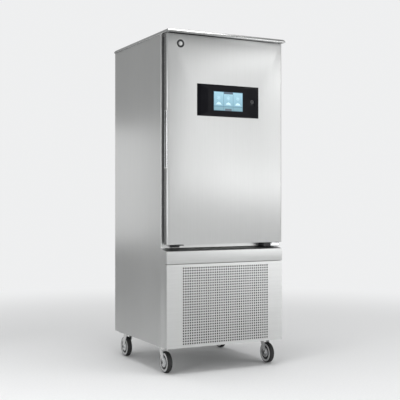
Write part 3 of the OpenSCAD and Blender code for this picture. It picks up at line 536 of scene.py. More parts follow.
@dataclass(frozen=True)
class Box:
    """A CAD node's box at rest."""

    low: Vector
    high: Vector

    @classmethod
    def of(cls, node: str) -> "Box":
        """Return the box of a CAD node."""
        low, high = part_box(node)
        return cls(Vector(low), Vector(high))

    @property
    def centre(self) -> Vector:
        """The box's middle."""
        return (self.low + self.high) / 2

    @property
    def size(self) -> Vector:
        """The box's extents."""
        return self.high - self.low


class Solid:
    """A mesh under construction, with the shapes that the machine's details need."""

    def __init__(self) -> None:
        """Start an empty mesh."""
        self.bm = bmesh.new()

    def _soften(self, faces: Iterable[bmesh.types.BMFace], width: float, steps: int = 2) -> None:
        """Round the edges where the faces meet at more than 30 degrees.

        Args:
            faces: The faces.
            width: Width of the rounding, 0 for none.
            steps: Divisions of it.
        """
        edges = {
            edge
            for face in faces
            for edge in face.edges
            if len(edge.link_faces) == 2 and edge.calc_face_angle(0.0) > math.radians(30)
        }
        if width > 0 and edges:
            bmesh.ops.bevel(
                self.bm, geom=list(edges), offset=width, segments=steps, profile=0.5, affect="EDGES"
            )

    def skin(
        self, rings: Sequence[Sequence[bmesh.types.BMVert]], loop: bool, wrap: bool
    ) -> list[bmesh.types.BMFace]:
        """Join each ring of points to the next with quads.

        Args:
            rings: Rings of equally many points.
            loop: Whether the last ring joins the first.
            wrap: Whether the last point of a ring joins its first.

        Returns:
            The faces.
        """
        faces = []
        for i in range(len(rings) if loop else len(rings) - 1):
            here, there = rings[i], rings[(i + 1) % len(rings)]
            for k in range(len(here) if wrap else len(here) - 1):
                m = (k + 1) % len(here)
                faces.append(self.bm.faces.new((here[k], there[k], there[m], here[m])))
        return faces

    def ring(
        self, place: Matrix, radius: float, level: float, count: int
    ) -> list[bmesh.types.BMVert]:
        """Add points evenly round the place's local Z axis, at a level along it."""
        return [self.bm.verts.new(place @ Vector((*spot, level))) for spot in circle(radius, count)]

    def block(self, low: Sequence[float], high: Sequence[float], edge: float = 0.0) -> None:
        """Add a box with rounded edges.

        Args:
            low: Lowest corner.
            high: Highest corner.
            edge: Radius of its edges.
        """
        low, high = Vector(low), Vector(high)
        size = high - low
        place = Matrix.Translation((low + high) / 2) @ Matrix.Diagonal((*size, 1.0))
        made = bmesh.ops.create_cube(self.bm, size=1.0, matrix=place)
        self._soften({face for vert in made["verts"] for face in vert.link_faces}, edge)

    def plate(
        self, outline: Sequence[Pair], axis: int, start: float, stop: float, edge: float = 0.0
    ) -> None:
        """Extrude a flat outline along an axis.

        Args:
            outline: Points in the other two axes, in X, Y, Z order.
            axis: 0, 1 or 2 for the direction of the extrusion.
            start: Where it starts along the axis.
            stop: Where it ends.
            edge: Radius of its edges.
        """

        def point(pair: Pair, level: float) -> Triple:
            """Set a flat point at a level along the axis.

            Args:
                pair: The flat point.
                level: The level.

            Returns:
                The point in space.
            """
            spot = list(pair)
            spot.insert(axis, level)
            return tuple(spot)

        rings = [
            [self.bm.verts.new(point(pair, level)) for pair in outline] for level in (start, stop)
        ]
        count = len(outline)
        faces = [self.bm.faces.new(ring) for ring in rings]
        for i in range(count):
            j = (i + 1) % count
            faces.append(self.bm.faces.new((rings[0][i], rings[0][j], rings[1][j], rings[1][i])))
        bmesh.ops.recalc_face_normals(self.bm, faces=faces)
        self._soften(faces, edge)

    def lathe(self, profile: Sequence[Pair], place: Matrix, steps: int = 48) -> None:
        """Turn a profile once round the local Z axis.

        Args:
            profile: Radius and height of each point.
            place: Where the local axis stands.
            steps: Number of divisions of the turn.
        """
        rings = []
        for i in range(steps):
            angle = math.tau * i / steps
            rings.append(
                [self.bm.verts.new(place @ Vector((*polar(r, angle), h))) for r, h in profile]
            )
        self.skin(rings, loop=True, wrap=False)
        bmesh.ops.remove_doubles(self.bm, verts=[v for ring in rings for v in ring], dist=1e-6)

    def stack(self, rings: Sequence[Sequence[Triple]]) -> None:
        """Join rings into a closed solid with flat ends.

        Args:
            rings: Rings of equally many points, from one end to the other.
        """
        loops = [[self.bm.verts.new(spot) for spot in ring] for ring in rings]
        self.skin(loops, loop=False, wrap=True)
        self.bm.faces.new(reversed(loops[0]))
        self.bm.faces.new(loops[-1])

    def band(self, outer: tuple[float, float, float, float], profile: Sequence[Pair]) -> None:
        """Sweep a closed profile round a rectangle that faces -Y.

        Args:
            outer: The rectangle as low x, high x, low z, high z.
            profile: Inset from the rectangle and Y of each point, in a loop.
        """
        x0, x1, z0, z1 = outer
        rings = []
        for sx, sz in ((0, 0), (1, 0), (1, 1), (0, 1)):
            ring = []
            for inset, y in profile:
                x = x1 - inset if sx else x0 + inset
                z = z1 - inset if sz else z0 + inset
                ring.append(self.bm.verts.new((x, y, z)))
            rings.append(ring)
        faces = self.skin(rings, loop=True, wrap=True)
        bmesh.ops.recalc_face_normals(self.bm, faces=faces)

    def tube(
        self, path: Sequence[Vector], radius: float, sides: int = 12, closed: bool = False
    ) -> None:
        """Sweep a round section along a path.

        Args:
            path: Points of the centreline.
            radius: Radius of the section.
            sides: Number of sides of the section.
            closed: Whether the path is a loop.
        """
        count = len(path)
        rings: list[list[bmesh.types.BMVert]] = []
        normal = None
        for i, spot in enumerate(path):
            ahead = path[(i + 1) % count] if closed or i < count - 1 else spot
            behind = path[i - 1] if closed or i > 0 else spot
            along = (ahead - behind).normalized()
            if normal is None:
                normal = along.orthogonal().normalized()
            normal = (normal - along * normal.dot(along)).normalized()
            side = along.cross(normal)
            rings.append(
                [
                    self.bm.verts.new(spot + radius * (c * normal + d * side))
                    for c, d in circle(1.0, sides)
                ]
            )
        self.skin(rings, loop=closed, wrap=True)
        if not closed:
            self.bm.faces.new(rings[0])
            self.bm.faces.new(reversed(rings[-1]))

    def screw(self, place: Matrix, radius: float = 0.004, height: float = 0.0022) -> None:
        """Add a domed screw head with a hexagon recess, facing local +Z.

        Args:
            place: Centre of its seat.
            radius: Radius of the head.
            height: Height of the head.
        """
        hexagon = radius * 0.45
        profile = [
            (0.0, 0.0),
            (radius, 0.0),
            (radius, height * 0.35),
            (radius * 0.93, height * 0.68),
            (radius * 0.74, height * 0.94),
            (hexagon * 1.25, height),
        ]
        self.lathe(profile, place, steps=24)
        rims = [
            self.ring(place, hexagon * reach, level, 6)
            for level, reach in ((height, 1.0), (-height * 0.25, 0.94))
        ]
        for k in range(6):
            m = (k + 1) % 6
            self.bm.faces.new((rims[0][k], rims[0][m], rims[1][m], rims[1][k]))
        self.bm.faces.new(rims[1])
        lip = self.ring(place, hexagon * 1.25, height, 24)
        for k in range(24):
            m = (k + 1) % 24
            a, b = rims[0][(k // 4) % 6], rims[0][(m // 4) % 6]
            self.bm.faces.new((lip[k], lip[m], a) if a is b else (lip[k], lip[m], b, a))
        bmesh.ops.remove_doubles(self.bm, verts=self.bm.verts[:], dist=1e-7)

    def piece(
        self, name: str, material: Material, body: str, slot: str, angle: float = 34.0
    ) -> bpy.types.Object:
        """Turn the mesh into a piece that rides on a body.

        Args:
            name: The piece's name.
            material: Its finish.
            body: The CAD body that it moves with.
            slot: The record's material slot; not used.
            angle: Edges sharper than this stay sharp, in degrees.

        Returns:
            The piece.
        """
        bmesh.ops.recalc_face_normals(self.bm, faces=self.bm.faces[:])
        mesh = bpy.data.meshes.new(name)
        self.bm.to_mesh(mesh)
        self.bm.free()
        mesh.shade_smooth()
        mesh.set_sharp_from_angle(angle=math.radians(angle))
        mesh.materials.append(material)
        piece = bpy.data.objects.new(name, mesh)
        bpy.context.scene.collection.objects.link(piece)
        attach(piece, body)
        LOG.info("built %s on %s", name, body)
        return piece


def facing(spot: Sequence[float], towards: Sequence[float], roll: float = 0.0) -> Matrix:
    """Return the place whose local +Z looks a given way.

    Args:
        spot: Its origin.
        towards: Direction of local +Z.
        roll: Degrees to turn round it.

    Returns:
        The place as a matrix.
    """
    turn = Vector((0.0, 0.0, 1.0)).rotation_difference(Vector(towards).normalized())
    return Matrix.Translation(Vector(spot)) @ turn.to_matrix().to_4x4() @ Matrix.Rotation(
        math.radians(roll), 4, "Z"
    )


def rounded(x: Pair, z: Pair, radius: float, steps: int = 6) -> list[Pair]:
    """Return the outline of a rectangle with round corners.

    Args:
        x: From and to along the first axis.
        z: From and to along the second axis.
        radius: Radius of the corners.
        steps: Divisions of each corner.

    Returns:
        The points, in a loop.
    """
    corners = (
        (x[1] - radius, z[1] - radius, 0.0),
        (x[0] + radius, z[1] - radius, 90.0),
        (x[0] + radius, z[0] + radius, 180.0),
        (x[1] - radius, z[0] + radius, 270.0),
    )
    points = []
    for cx, cz, start in corners:
        for i in range(steps + 1):
            dx, dz = polar(radius, math.radians(start + 90.0 * i / steps))
            points.append((cx + dx, cz + dz))
    return points


class Dresser:
    """Gives CAD nodes their finish, soft edges and smooth round faces."""

    def __init__(self, nodes: dict[str, bpy.types.Object]) -> None:
        """Keep the CAD nodes and make the shading group.

        Args:
            nodes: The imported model's objects by node name.
        """
        self.nodes = nodes
        self.group = self._shading_group()

    @staticmethod
    def _shading_group() -> bpy.types.NodeTree:
        """Make the nodes that shade smooth across shallow edges only.

        Returns:
            The node group.
        """
        group = bpy.data.node_groups.new("smooth_shallow_edges", "GeometryNodeTree")
        group.interface.new_socket("Geometry", in_out="INPUT", socket_type="NodeSocketGeometry")
        group.interface.new_socket("Geometry", in_out="OUTPUT", socket_type="NodeSocketGeometry")
        start = group.nodes.new("NodeGroupInput")
        stop = group.nodes.new("NodeGroupOutput")
        faces = group.nodes.new("GeometryNodeSetShadeSmooth")
        faces.domain = "FACE"
        faces.inputs["Shade Smooth"].default_value = True
        edges = group.nodes.new("GeometryNodeSetShadeSmooth")
        edges.domain = "EDGE"
        edges.inputs["Shade Smooth"].default_value = False
        angle = group.nodes.new("GeometryNodeInputMeshEdgeAngle")
        sharp = group.nodes.new("FunctionNodeCompare")
        sharp.data_type = "FLOAT"
        sharp.operation = "GREATER_THAN"
        sharp.inputs["B"].default_value = math.radians(36)
        group.links.new(start.outputs[0], faces.inputs["Geometry"])
        group.links.new(faces.outputs["Geometry"], edges.inputs["Geometry"])
        group.links.new(angle.outputs["Unsigned Angle"], sharp.inputs["A"])
        group.links.new(sharp.outputs["Result"], edges.inputs["Selection"])
        group.links.new(edges.outputs["Geometry"], stop.inputs[0])
        return group

    def dress(self, material: Material, edge: float, *names: str) -> None:
        """Give CAD nodes a finish.

        Args:
            material: The finish.
            edge: Radius of their edges, 0 for sharp ones.
            *names: The nodes' names.
        """
        for name in names:
            node = self.nodes[name]
            node.data.materials.clear()
            node.data.materials.append(material)
            weld = node.modifiers.new("weld", "WELD")
            weld.merge_threshold = 2e-6
            if edge > 0:
                bevel = node.modifiers.new("soft_edges", "BEVEL")
                bevel.width = edge
                bevel.segments = 2
                bevel.limit_method = "ANGLE"
                bevel.angle_limit = math.radians(40)
                bevel.use_clamp_overlap = True
            smooth = node.modifiers.new("smooth", "NODES")
            smooth.node_group = self.group
            LOG.info("dressed %s", name)


# ------------------------------------------------------------------ studio


@dataclass(frozen=True)
class Softbox:
    """A large soft lamp that looks at the machine."""

    name: str
    spot: Triple
    aim: Triple
    width: float
    height: float
    watts: float

    def build(self) -> None:
        """Add the lamp."""
        data = bpy.data.lights.new(self.name, "AREA")
        data.shape = "RECTANGLE"
        data.size, data.size_y = self.width, self.height
        data.energy = self.watts
        lamp = bpy.data.objects.new(self.name, data)
        look = Vector(self.aim) - Vector(self.spot)
        turn = look.to_track_quat("-Z", "Y").to_matrix().to_4x4()
        lamp.matrix_world = Matrix.Translation(self.spot) @ turn
        lamp.visible_camera = False
        bpy.context.scene.collection.objects.link(lamp)


@dataclass
class Studio:
    """Camera, pale floor, soft lamps and the room around the machine."""

    camera_spot: Triple = (-2.3923, -4.6793, 1.0015)
    camera_turn: float = -27.30
    lens: float = 75.06
    film: float = 36.0
    photo_side: float = 400.0
    horizon: float = 200.5
    backdrop: Triple = (0.86, 0.865, 0.87)
    room: Sequence[Pair] = ((0.60, 0.42), (0.80, 0.38), (1.0, 0.40))
    room_green: float = 1.004
    floor_pale: tuple[Triple, Triple] = ((0.80, 0.805, 0.81), (0.84, 0.845, 0.85))
    floor_dim: tuple[Triple, Triple] = ((0.70, 0.702, 0.702), (0.74, 0.742, 0.742))
    floor_radius: float = 40.0
    floor_fade: Pair = (1.0, 4.6)

    def build(self) -> None:
        """Set up everything around the machine."""
        self.build_camera()
        self.build_floor()
        self.build_room()
        for lamp in (
            Softbox("lamp_front_right", (2.35, -3.2, 1.70), (0.2, -0.38, 1.5), 2.3, 3.1, 25.6),
            Softbox("lamp_front_left", (1.0, -3.4, 1.5), (-0.2, -0.38, 1.3), 1.2, 1.1, 1.7),
            Softbox("lamp_left_rear", (-1.03, 1.24, 1.12), (-0.39, 0.0, 1.05), 0.9, 0.90, 1.70),
            Softbox("lamp_low_right", (2.25, -3.35, 0.50), (0.1, -0.38, 0.38), 2.8, 0.8, 6.2),
            Softbox("lamp_top_right", (2.65, -2.95, 3.40), (0.35, -0.38, 1.9), 1.3, 0.8, 8.0),
            Softbox("lamp_left", (-2.7, -1.6, 1.15), (-0.39, -0.38, 1.0), 1.1, 2.4, 30.0),
            Softbox("lamp_above", (-0.2, -0.6, 4.6), (-0.1, 0.0, 0.0), 3.0, 3.0, 125.0),
        ):
            lamp.build()
        bpy.context.scene.view_settings.view_transform = "Standard"

    def build_camera(self) -> None:
        """Place the camera where the photograph was taken."""
        data = bpy.data.cameras.new("photo_camera")
        data.lens = self.lens
        data.sensor_width = self.film
        data.shift_y = (self.horizon - self.photo_side / 2) / self.photo_side
        camera = bpy.data.objects.new("photo_camera", data)
        camera.location = self.camera_spot
        camera.rotation_euler = (math.radians(90), 0.0, math.radians(self.camera_turn))
        bpy.context.scene.collection.objects.link(camera)
        bpy.context.scene.camera = camera

    def build_floor(self) -> None:
        """Lay a pale floor that fades into the backdrop far away, for the camera alone."""
        bm = bmesh.new()
        bmesh.ops.create_circle(bm, cap_ends=True, radius=self.floor_radius, segments=96)
        mesh = bpy.data.meshes.new("studio_floor")
        bm.to_mesh(mesh)
        bm.free()
        floor = bpy.data.objects.new("studio_floor", mesh)
        bpy.context.scene.collection.objects.link(floor)
        g = Graph("studio_floor")
        speck = g.noise(g.place, 90.0, 3.0)
        pale = g.ramp(speck, tuple(zip((0.3, 0.7), self.floor_pale)))
        dim = g.ramp(speck, tuple(zip((0.3, 0.7), self.floor_dim)))
        rays = g.add("ShaderNodeLightPath").outputs["Is Camera Ray"]
        mixed = g.blend(dim, pale, 1.0, "MIX")
        g.link(rays, mixed.node.inputs["Factor"])
        g.link(mixed, g.shader.inputs["Base Color"])
        g.put(Roughness=0.7, Specular_IOR_Level=0.25)
        far = g.add("ShaderNodeVectorMath", operation="LENGTH")
        g.link(g.place, far.inputs[0])
        reach = g.spread(far.outputs["Value"], 0.0, 1.0, *self.floor_fade)
        reach.node.interpolation_type = "SMOOTHSTEP"
        seen = g.add("ShaderNodeMath", operation="MULTIPLY")
        g.link(reach, seen.inputs[0])
        g.link(rays, seen.inputs[1])
        glow = g.add("ShaderNodeEmission")
        glow.inputs["Color"].default_value = (*self.backdrop, 1.0)
        surface = g.tree.nodes["Material Output"].inputs["Surface"]
        g.mix(seen.outputs[0], g.shader, glow, surface)
        mesh.materials.append(g.material)

    def build_room(self) -> None:
        """Make the plain room that lights the machine; the camera sees the backdrop instead."""
        world = bpy.data.worlds.new("studio_room")
        bpy.context.scene.world = world
        world.use_nodes = True
        world.node_tree.nodes.clear()
        g = Tree(world.node_tree)
        split = g.add("ShaderNodeSeparateXYZ")
        g.link(g.add("ShaderNodeTexCoord").outputs["Generated"], split.inputs[0])
        height = g.spread(split.outputs["Z"], 0.0, 1.0, -1.0)
        stops = [(spot, (tone, tone * self.room_green, tone)) for spot, tone in self.room]
        room = g.add("ShaderNodeBackground")
        g.link(g.ramp(height, stops), room.inputs["Color"])
        pale = g.add("ShaderNodeBackground")
        pale.inputs["Color"].default_value = (*self.backdrop, 1.0)
        rays = g.add("ShaderNodeLightPath").outputs["Is Camera Ray"]
        g.mix(rays, room, pale, g.add("ShaderNodeOutputWorld").inputs["Surface"])


# ------------------------------------------------------------------ body


@dataclass
class Assembly:
    """One sub-assembly, with what it takes to dress it."""

    dresser: Dresser
    palette: Palette


@dataclass
class Cabinet(Assembly):
    """Outer shell, front frame, fascia and grille."""

    cover_edge: float = 0.0180
    cover_corner: float = 0.003
    cover_steps: int = 9
    filter_gap: float = 0.0036
    filter_half: float = 0.300
    filter_foot: float = 0.010
    filter_head: float = 0.012
    filter_rim: float = 0.004
    pleat: float = 0.012
    pleat_depth: float = 0.004
    pad: float = 0.0012
    screws: int = 9
    screw_margin: float = 0.06
    screw_inset: float = 0.012
    screw_radius: float = 0.0045
    screw_height: float = 0.0011

    def build(self) -> None:
        """Dress the shell and build its cover, the black pleated pad of painted shade behind the
        grille, and its fasteners.
        """
        p, dress = self.palette, self.dresser.dress
        dress(p.upright, 0.0, "left_side_panel", "right_side_panel", "rear_panel", "front_frame")
        dress(p.level, 0.0, "front_grille_panel")
        dress(p.level, 0.0004, "base_pan")
        dress(p.level, 0.0008, "fascia_frame")
        dress(p.foam, 0.0, "cabinet_insulation")
        dress(p.bright, 0.0008, "hinge_brackets", "hinge_pins")
        dress(p.black_plastic, 0.0015, "hinge_cover")
        dress(p.black_plastic, 0.0008, "door_switch", "cable_gland")
        self.build_cover()
        self.build_painted_shade_filter()
        self.build_rear_fasteners()

    def build_painted_shade_filter(self) -> None:
        """Hang a black pleated pad in a black frame close behind the grille: painted shade seen
        through the holes.
        """
        panel = Box.of("front_grille_panel")
        x0, x1 = panel.centre.x - self.filter_half, panel.centre.x + self.filter_half
        z0, z1 = panel.low.z + self.filter_foot, panel.high.z - self.filter_head
        y = panel.low.y + self.filter_gap
        pleats = 2 * int((x1 - x0) / self.pleat)
        deep = self.pleat_depth
        front = [(x0 + (x1 - x0) * i / pleats, y + deep * (i % 2)) for i in range(pleats + 1)]
        back = [(x, depth + self.pad) for x, depth in reversed(front)]
        # Black pleated pad behind the grille: painted shade behind the holes.
        pad = Solid()
        pad.plate([*front, *back], 2, z0, z1)
        pad.piece("painted_shade_filter", self.palette.rubber, "cabinet", "black_rubber", 20.0)
        over = self.filter_rim
        # Black frame round the pad: painted shade behind the grille's edge.
        rim = Solid()
        rim.band(
            (x0 - over, x1 + over, z0 - over, z1 + over),
            [(0.0, y - 0.0015), (0.0, y + 0.0075), (0.0015, y + 0.0080), (0.0090, y + 0.0080),
             (0.0090, y + 0.0064), (0.0045, y + 0.0060), (0.0045, y - 0.0005), (0.0090, y - 0.0008),
             (0.0090, y - 0.0020), (0.0015, y - 0.0020)],
        )
        rim.piece("painted_shade_filter_frame", self.palette.black_plastic, "cabinet", "black_plastic")

    def build_cover(self) -> None:
        """Fold the top cover with its rounded upper edge."""
        box = Box.of("top_cover")
        profile = [(0.0012, box.low.z), (0.0, box.low.z + 0.0012)]
        for i in range(self.cover_steps + 1):
            angle = math.radians(90 * i / self.cover_steps)
            drop = self.cover_edge * (1 - math.sin(angle))
            profile.append((self.cover_edge * (1 - math.cos(angle)), box.high.z - drop))
        rings = []
        for inset, z in profile:
            x = (box.low.x + inset, box.high.x - inset)
            y = (box.low.y + inset, box.high.y - inset)
            rings.append([(*spot, z) for spot in rounded(x, y, self.cover_corner, 3)])
        cover = Solid()
        cover.stack(rings)
        piece = cover.piece("cover", self.palette.cover, "cabinet", "brushed_steel", 50.0)
        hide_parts("top_cover")

    def build_rear_fasteners(self) -> None:
        """Screw the rear panel to the side panels' folded edges."""
        rear = Box.of("rear_panel")
        shell = Box.of("left_side_panel")
        heads = Solid()
        for z in spaced(shell.low.z, shell.size.z, self.screw_margin, self.screws):
            for side in (-1, 1):
                spot = (side * (rear.high.x - self.screw_inset), rear.high.y, z)
                heads.screw(facing(spot, (0, 1, 0)), self.screw_radius, self.screw_height)
        heads.piece("rear_panel_screws", self.palette.bright, "cabinet", "bright_steel")


@dataclass
class FanWheel:
    """An axial fan with twisted, cambered blades round a spoked hub."""

    name: str
    node: str
    body: str
    palette: Palette
    hub: float
    sense: int = 1
    blades: int = 5
    radial: int = 10
    chordwise: int = 10
    root_chord: float = 0.048
    tip_chord: float = 0.088
    root_pitch: float = 31.0
    tip_pitch: float = 15.5
    sweep: float = 9.0
    camber: float = 0.055
    thickness: float = 0.0022
    depth: float = 0.030
    shaft: float = 0.024
    ribs: int = 8

    def build(self) -> None:
        """Build the fan and let it stand for its CAD node."""
        box = Box.of(self.node)
        self.centre = box.centre
        self.tip = box.size.x / 2
        front = box.high.y - self.depth if self.sense > 0 else box.low.y
        self.middle = front + self.depth / 2
        fan = Solid()
        for i in range(self.blades):
            self.add_blade(fan, math.tau * i / self.blades)
        self.add_hub(fan, front)
        piece = fan.piece(self.name, self.palette.black_plastic, self.body, "black_plastic", 40.0)
        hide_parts(self.node)

    def add_blade(self, fan: Solid, start: float) -> None:
        """Loft one blade.

        Args:
            fan: The mesh that takes it.
            start: Angle of its root round the shaft, in radians.
        """
        grid: dict[int, list[list[bmesh.types.BMVert]]] = {1: [], -1: []}
        root = self.hub - 0.003
        for face in (1, -1):
            for i in range(self.radial + 1):
                u = i / self.radial
                radius = root + u * (self.tip - root)
                pitch = math.radians(self.root_pitch + u * (self.tip_pitch - self.root_pitch))
                chord = self.root_chord + u * (self.tip_chord - self.root_chord)
                chord *= 1.0 - 0.22 * max(0.0, u - 0.8) ** 2 / 0.04
                row = []
                for j in range(self.chordwise + 1):
                    s = j / self.chordwise - 0.5
                    bow = self.camber * chord * (1 - 4 * s * s)
                    skin = face * self.thickness / 2 * math.sqrt(max(0.0, 1 - (2 * s) ** 2))
                    across = s * chord * math.cos(pitch) - bow * math.sin(pitch)
                    along = s * chord * math.sin(pitch) + bow * math.cos(pitch) + skin
                    angle = start + across / radius + math.radians(self.sweep) * u * u
                    dx, dz = polar(radius, angle)
                    y = self.middle + self.sense * along
                    row.append(fan.bm.verts.new((self.centre.x + dx, y, self.centre.z + dz)))
                grid[face].append(row)
        for rows in grid.values():
            fan.skin(rows, loop=False, wrap=False)
        for end in (0, self.radial):
            fan.skin([grid[1][end], grid[-1][end]], loop=False, wrap=False)
        verts = [vert for rows in grid.values() for row in rows for vert in row]
        bmesh.ops.remove_doubles(fan.bm, verts=verts, dist=1e-6)

    def add_hub(self, fan: Solid, front: float) -> None:
        """Turn the hub with its rounded rim and add stiffening ribs and the shaft.

        Args:
            fan: The mesh that takes it.
            front: Y of the hub's lower face.
        """
        place = facing((self.centre.x, front, self.centre.z), (0, 1, 0))
        if self.sense < 0:
            place = facing((self.centre.x, front + self.depth, self.centre.z), (0, -1, 0))
        r, d = self.hub, self.depth
        fan.lathe(
            [(0.0, 0.0), (r - 0.004, 0.0), (r - 0.001, 0.0012), (r, 0.004), (r, d - 0.003),
             (r - 0.0012, d - 0.0008), (r - 0.0035, d), (r - 0.0060, d - 0.002),
             (r - 0.0070, d - 0.010), (0.012, d - 0.010), (0.0115, d - 0.004),
             (0.0095, d - 0.003), (0.0, d - 0.003)],
            place, 64,
        )
        for i in range(self.ribs):
            turn = place @ Matrix.Rotation(math.tau * i / self.ribs, 4, "Z")
            low = Vector((0.011, -0.0009, d - 0.0101))
            high = Vector((r - 0.0065, 0.0009, d - 0.0045))
            corners = [
                Vector((x, y, z)) for z in (low.z, high.z) for x, y in
                ((low.x, low.y), (high.x, low.y), (high.x, high.y), (low.x, high.y))
            ]
            verts = [fan.bm.verts.new(turn @ corner) for corner in corners]
            for face in ("0123", "4567", "0154", "1265", "2376", "3047"):
                fan.bm.faces.new([verts[int(corner)] for corner in face])
        end = -self.shaft
        fan.lathe(
            [(0.0, 0.001), (0.005, 0.001), (0.005, 0.0008 + end), (0.0042, end), (0.0, end)],
            place, 24,
        )


@dataclass(frozen=True)
class FinPack:
    """Closely spaced thin fins inside a coil's box."""

    name: str
    coil: str
    gap: float
    thickness: float
    front: float
    back: float
    bottom: float
    top: float
    side: float = 0.006

    def build(self, material: Material) -> None:
        """Fill the coil with its fins.

        Args:
            material: The fins' finish.
        """
        coil = Box.of(self.coil)
        fins = Solid()
        for i in range(int((coil.size.x - 2 * self.side) / self.gap)):
            x = coil.low.x + self.side + i * self.gap
            fins.block(
                (x, coil.low.y + self.front, coil.low.z + self.bottom),
                (x + self.thickness, coil.high.y - self.back, coil.high.z - self.top),
            )
        fins.piece(self.name, material, "cabinet", "fin_aluminium")


@dataclass
class Chamber(Assembly):
    """Cold chamber: lining, tray racks, baffle, fans and evaporator."""

    guard_wire: float = 0.0014
    guard_pitch: float = 0.0155
    guard_inner: float = 0.040
    guard_hub: float = 0.030
    screws: int = 6
    screw_margin: float = 0.03
    screw_inset: float = 0.014
    motor_screws: float = 0.021

    def build(self) -> None:
        """Dress the chamber's nodes and build its fans, guards, fins and screws."""
        p, dress = self.palette, self.dresser.dress
        dress(p.lining, 0.0, "chamber_liner", "evaporator_drip_tray")
        dress(p.lining, 0.0004, "air_baffle")
        dress(p.bright, 0.0004, "left_tray_rack", "right_tray_rack")
        dress(p.fins, 0.0, "evaporator_coil")
        dress(p.black_paint, 0.0015, "evaporator_fan_motors")
        for level in ("upper", "lower"):
            node = f"{level}_evaporator_fan"
            FanWheel(f"{level}_fan_wheel", node, node, p, hub=0.039).build()
        self.build_guards()
        FinPack(
            "evaporator_fins", "evaporator_coil", gap=0.0058, thickness=0.0003,
            front=0.0075, back=0.0155, bottom=0.0075, top=0.0075,
        ).build(p.fins)
        self.build_fasteners()

    def build_guards(self) -> None:
        """Weld the fans' guards from rings of round wire on eight spokes with four feet."""
        box = Box.of("evaporator_fan_guards")
        reach = box.size.x / 2
        wire = self.guard_wire
        guards = Solid()
        for level in ("upper_evaporator_fan", "lower_evaporator_fan"):
            centre = Box.of(level).centre
            y = box.low.y + wire
            rings = int((reach - self.guard_inner) / self.guard_pitch)
            for k in range(rings + 1):
                radius = reach - wire - k * self.guard_pitch
                loop = [Vector((centre.x + x, y, centre.z + z)) for x, z in circle(radius, 72)]
                guards.tube(loop, wire, 8, closed=True)
            for k in range(8):
                across, up = polar(1.0, math.radians(22.5 + 45 * k))
                way = Vector((across, 0.0, up))
                hub = Vector((centre.x, y + 1.6 * wire, centre.z))
                path = [hub + way * self.guard_hub, hub + way * (reach - wire)]
                if k % 2:
                    path.append(Vector((path[-1].x, box.high.y, path[-1].z)))
                guards.tube(path, wire, 8)
            guards.lathe(
                [(0.0, 0.0), (0.030, 0.0), (0.036, 0.0016), (0.0385, 0.0034), (0.0375, 0.0038),
                 (0.030, 0.0028), (0.0, 0.0028)],
                facing((centre.x, box.low.y + 0.0004, centre.z), (0, 1, 0)), 40,
            )
        piece = guards.piece("wire_guards", self.palette.bright, "cabinet", "bright_steel", 50.0)
        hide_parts("evaporator_fan_guards")

    def build_fasteners(self) -> None:
        """Screw the baffle's edges down and the fan motors to the guards' middles."""
        baffle = Box.of("air_baffle")
        heads = Solid()
        for side in (-1, 1):
            for z in spaced(baffle.low.z, baffle.size.z, self.screw_margin, self.screws):
                spot = (side * (baffle.high.x - self.screw_inset), baffle.low.y, z)
                heads.screw(facing(spot, (0, -1, 0)), 0.0045)
        for motor in ("upper_evaporator_fan", "lower_evaporator_fan"):
            z = Box.of(motor).centre.z
            y = Box.of("evaporator_fan_guards").low.y + 0.0005
            for i in range(4):
                across, up = polar(self.motor_screws, math.radians(45 + 90 * i))
                heads.screw(facing((across, y, z + up), (0, -1, 0)), 0.0035)
        heads.piece("chamber_screws", self.palette.bright, "cabinet", "bright_steel")


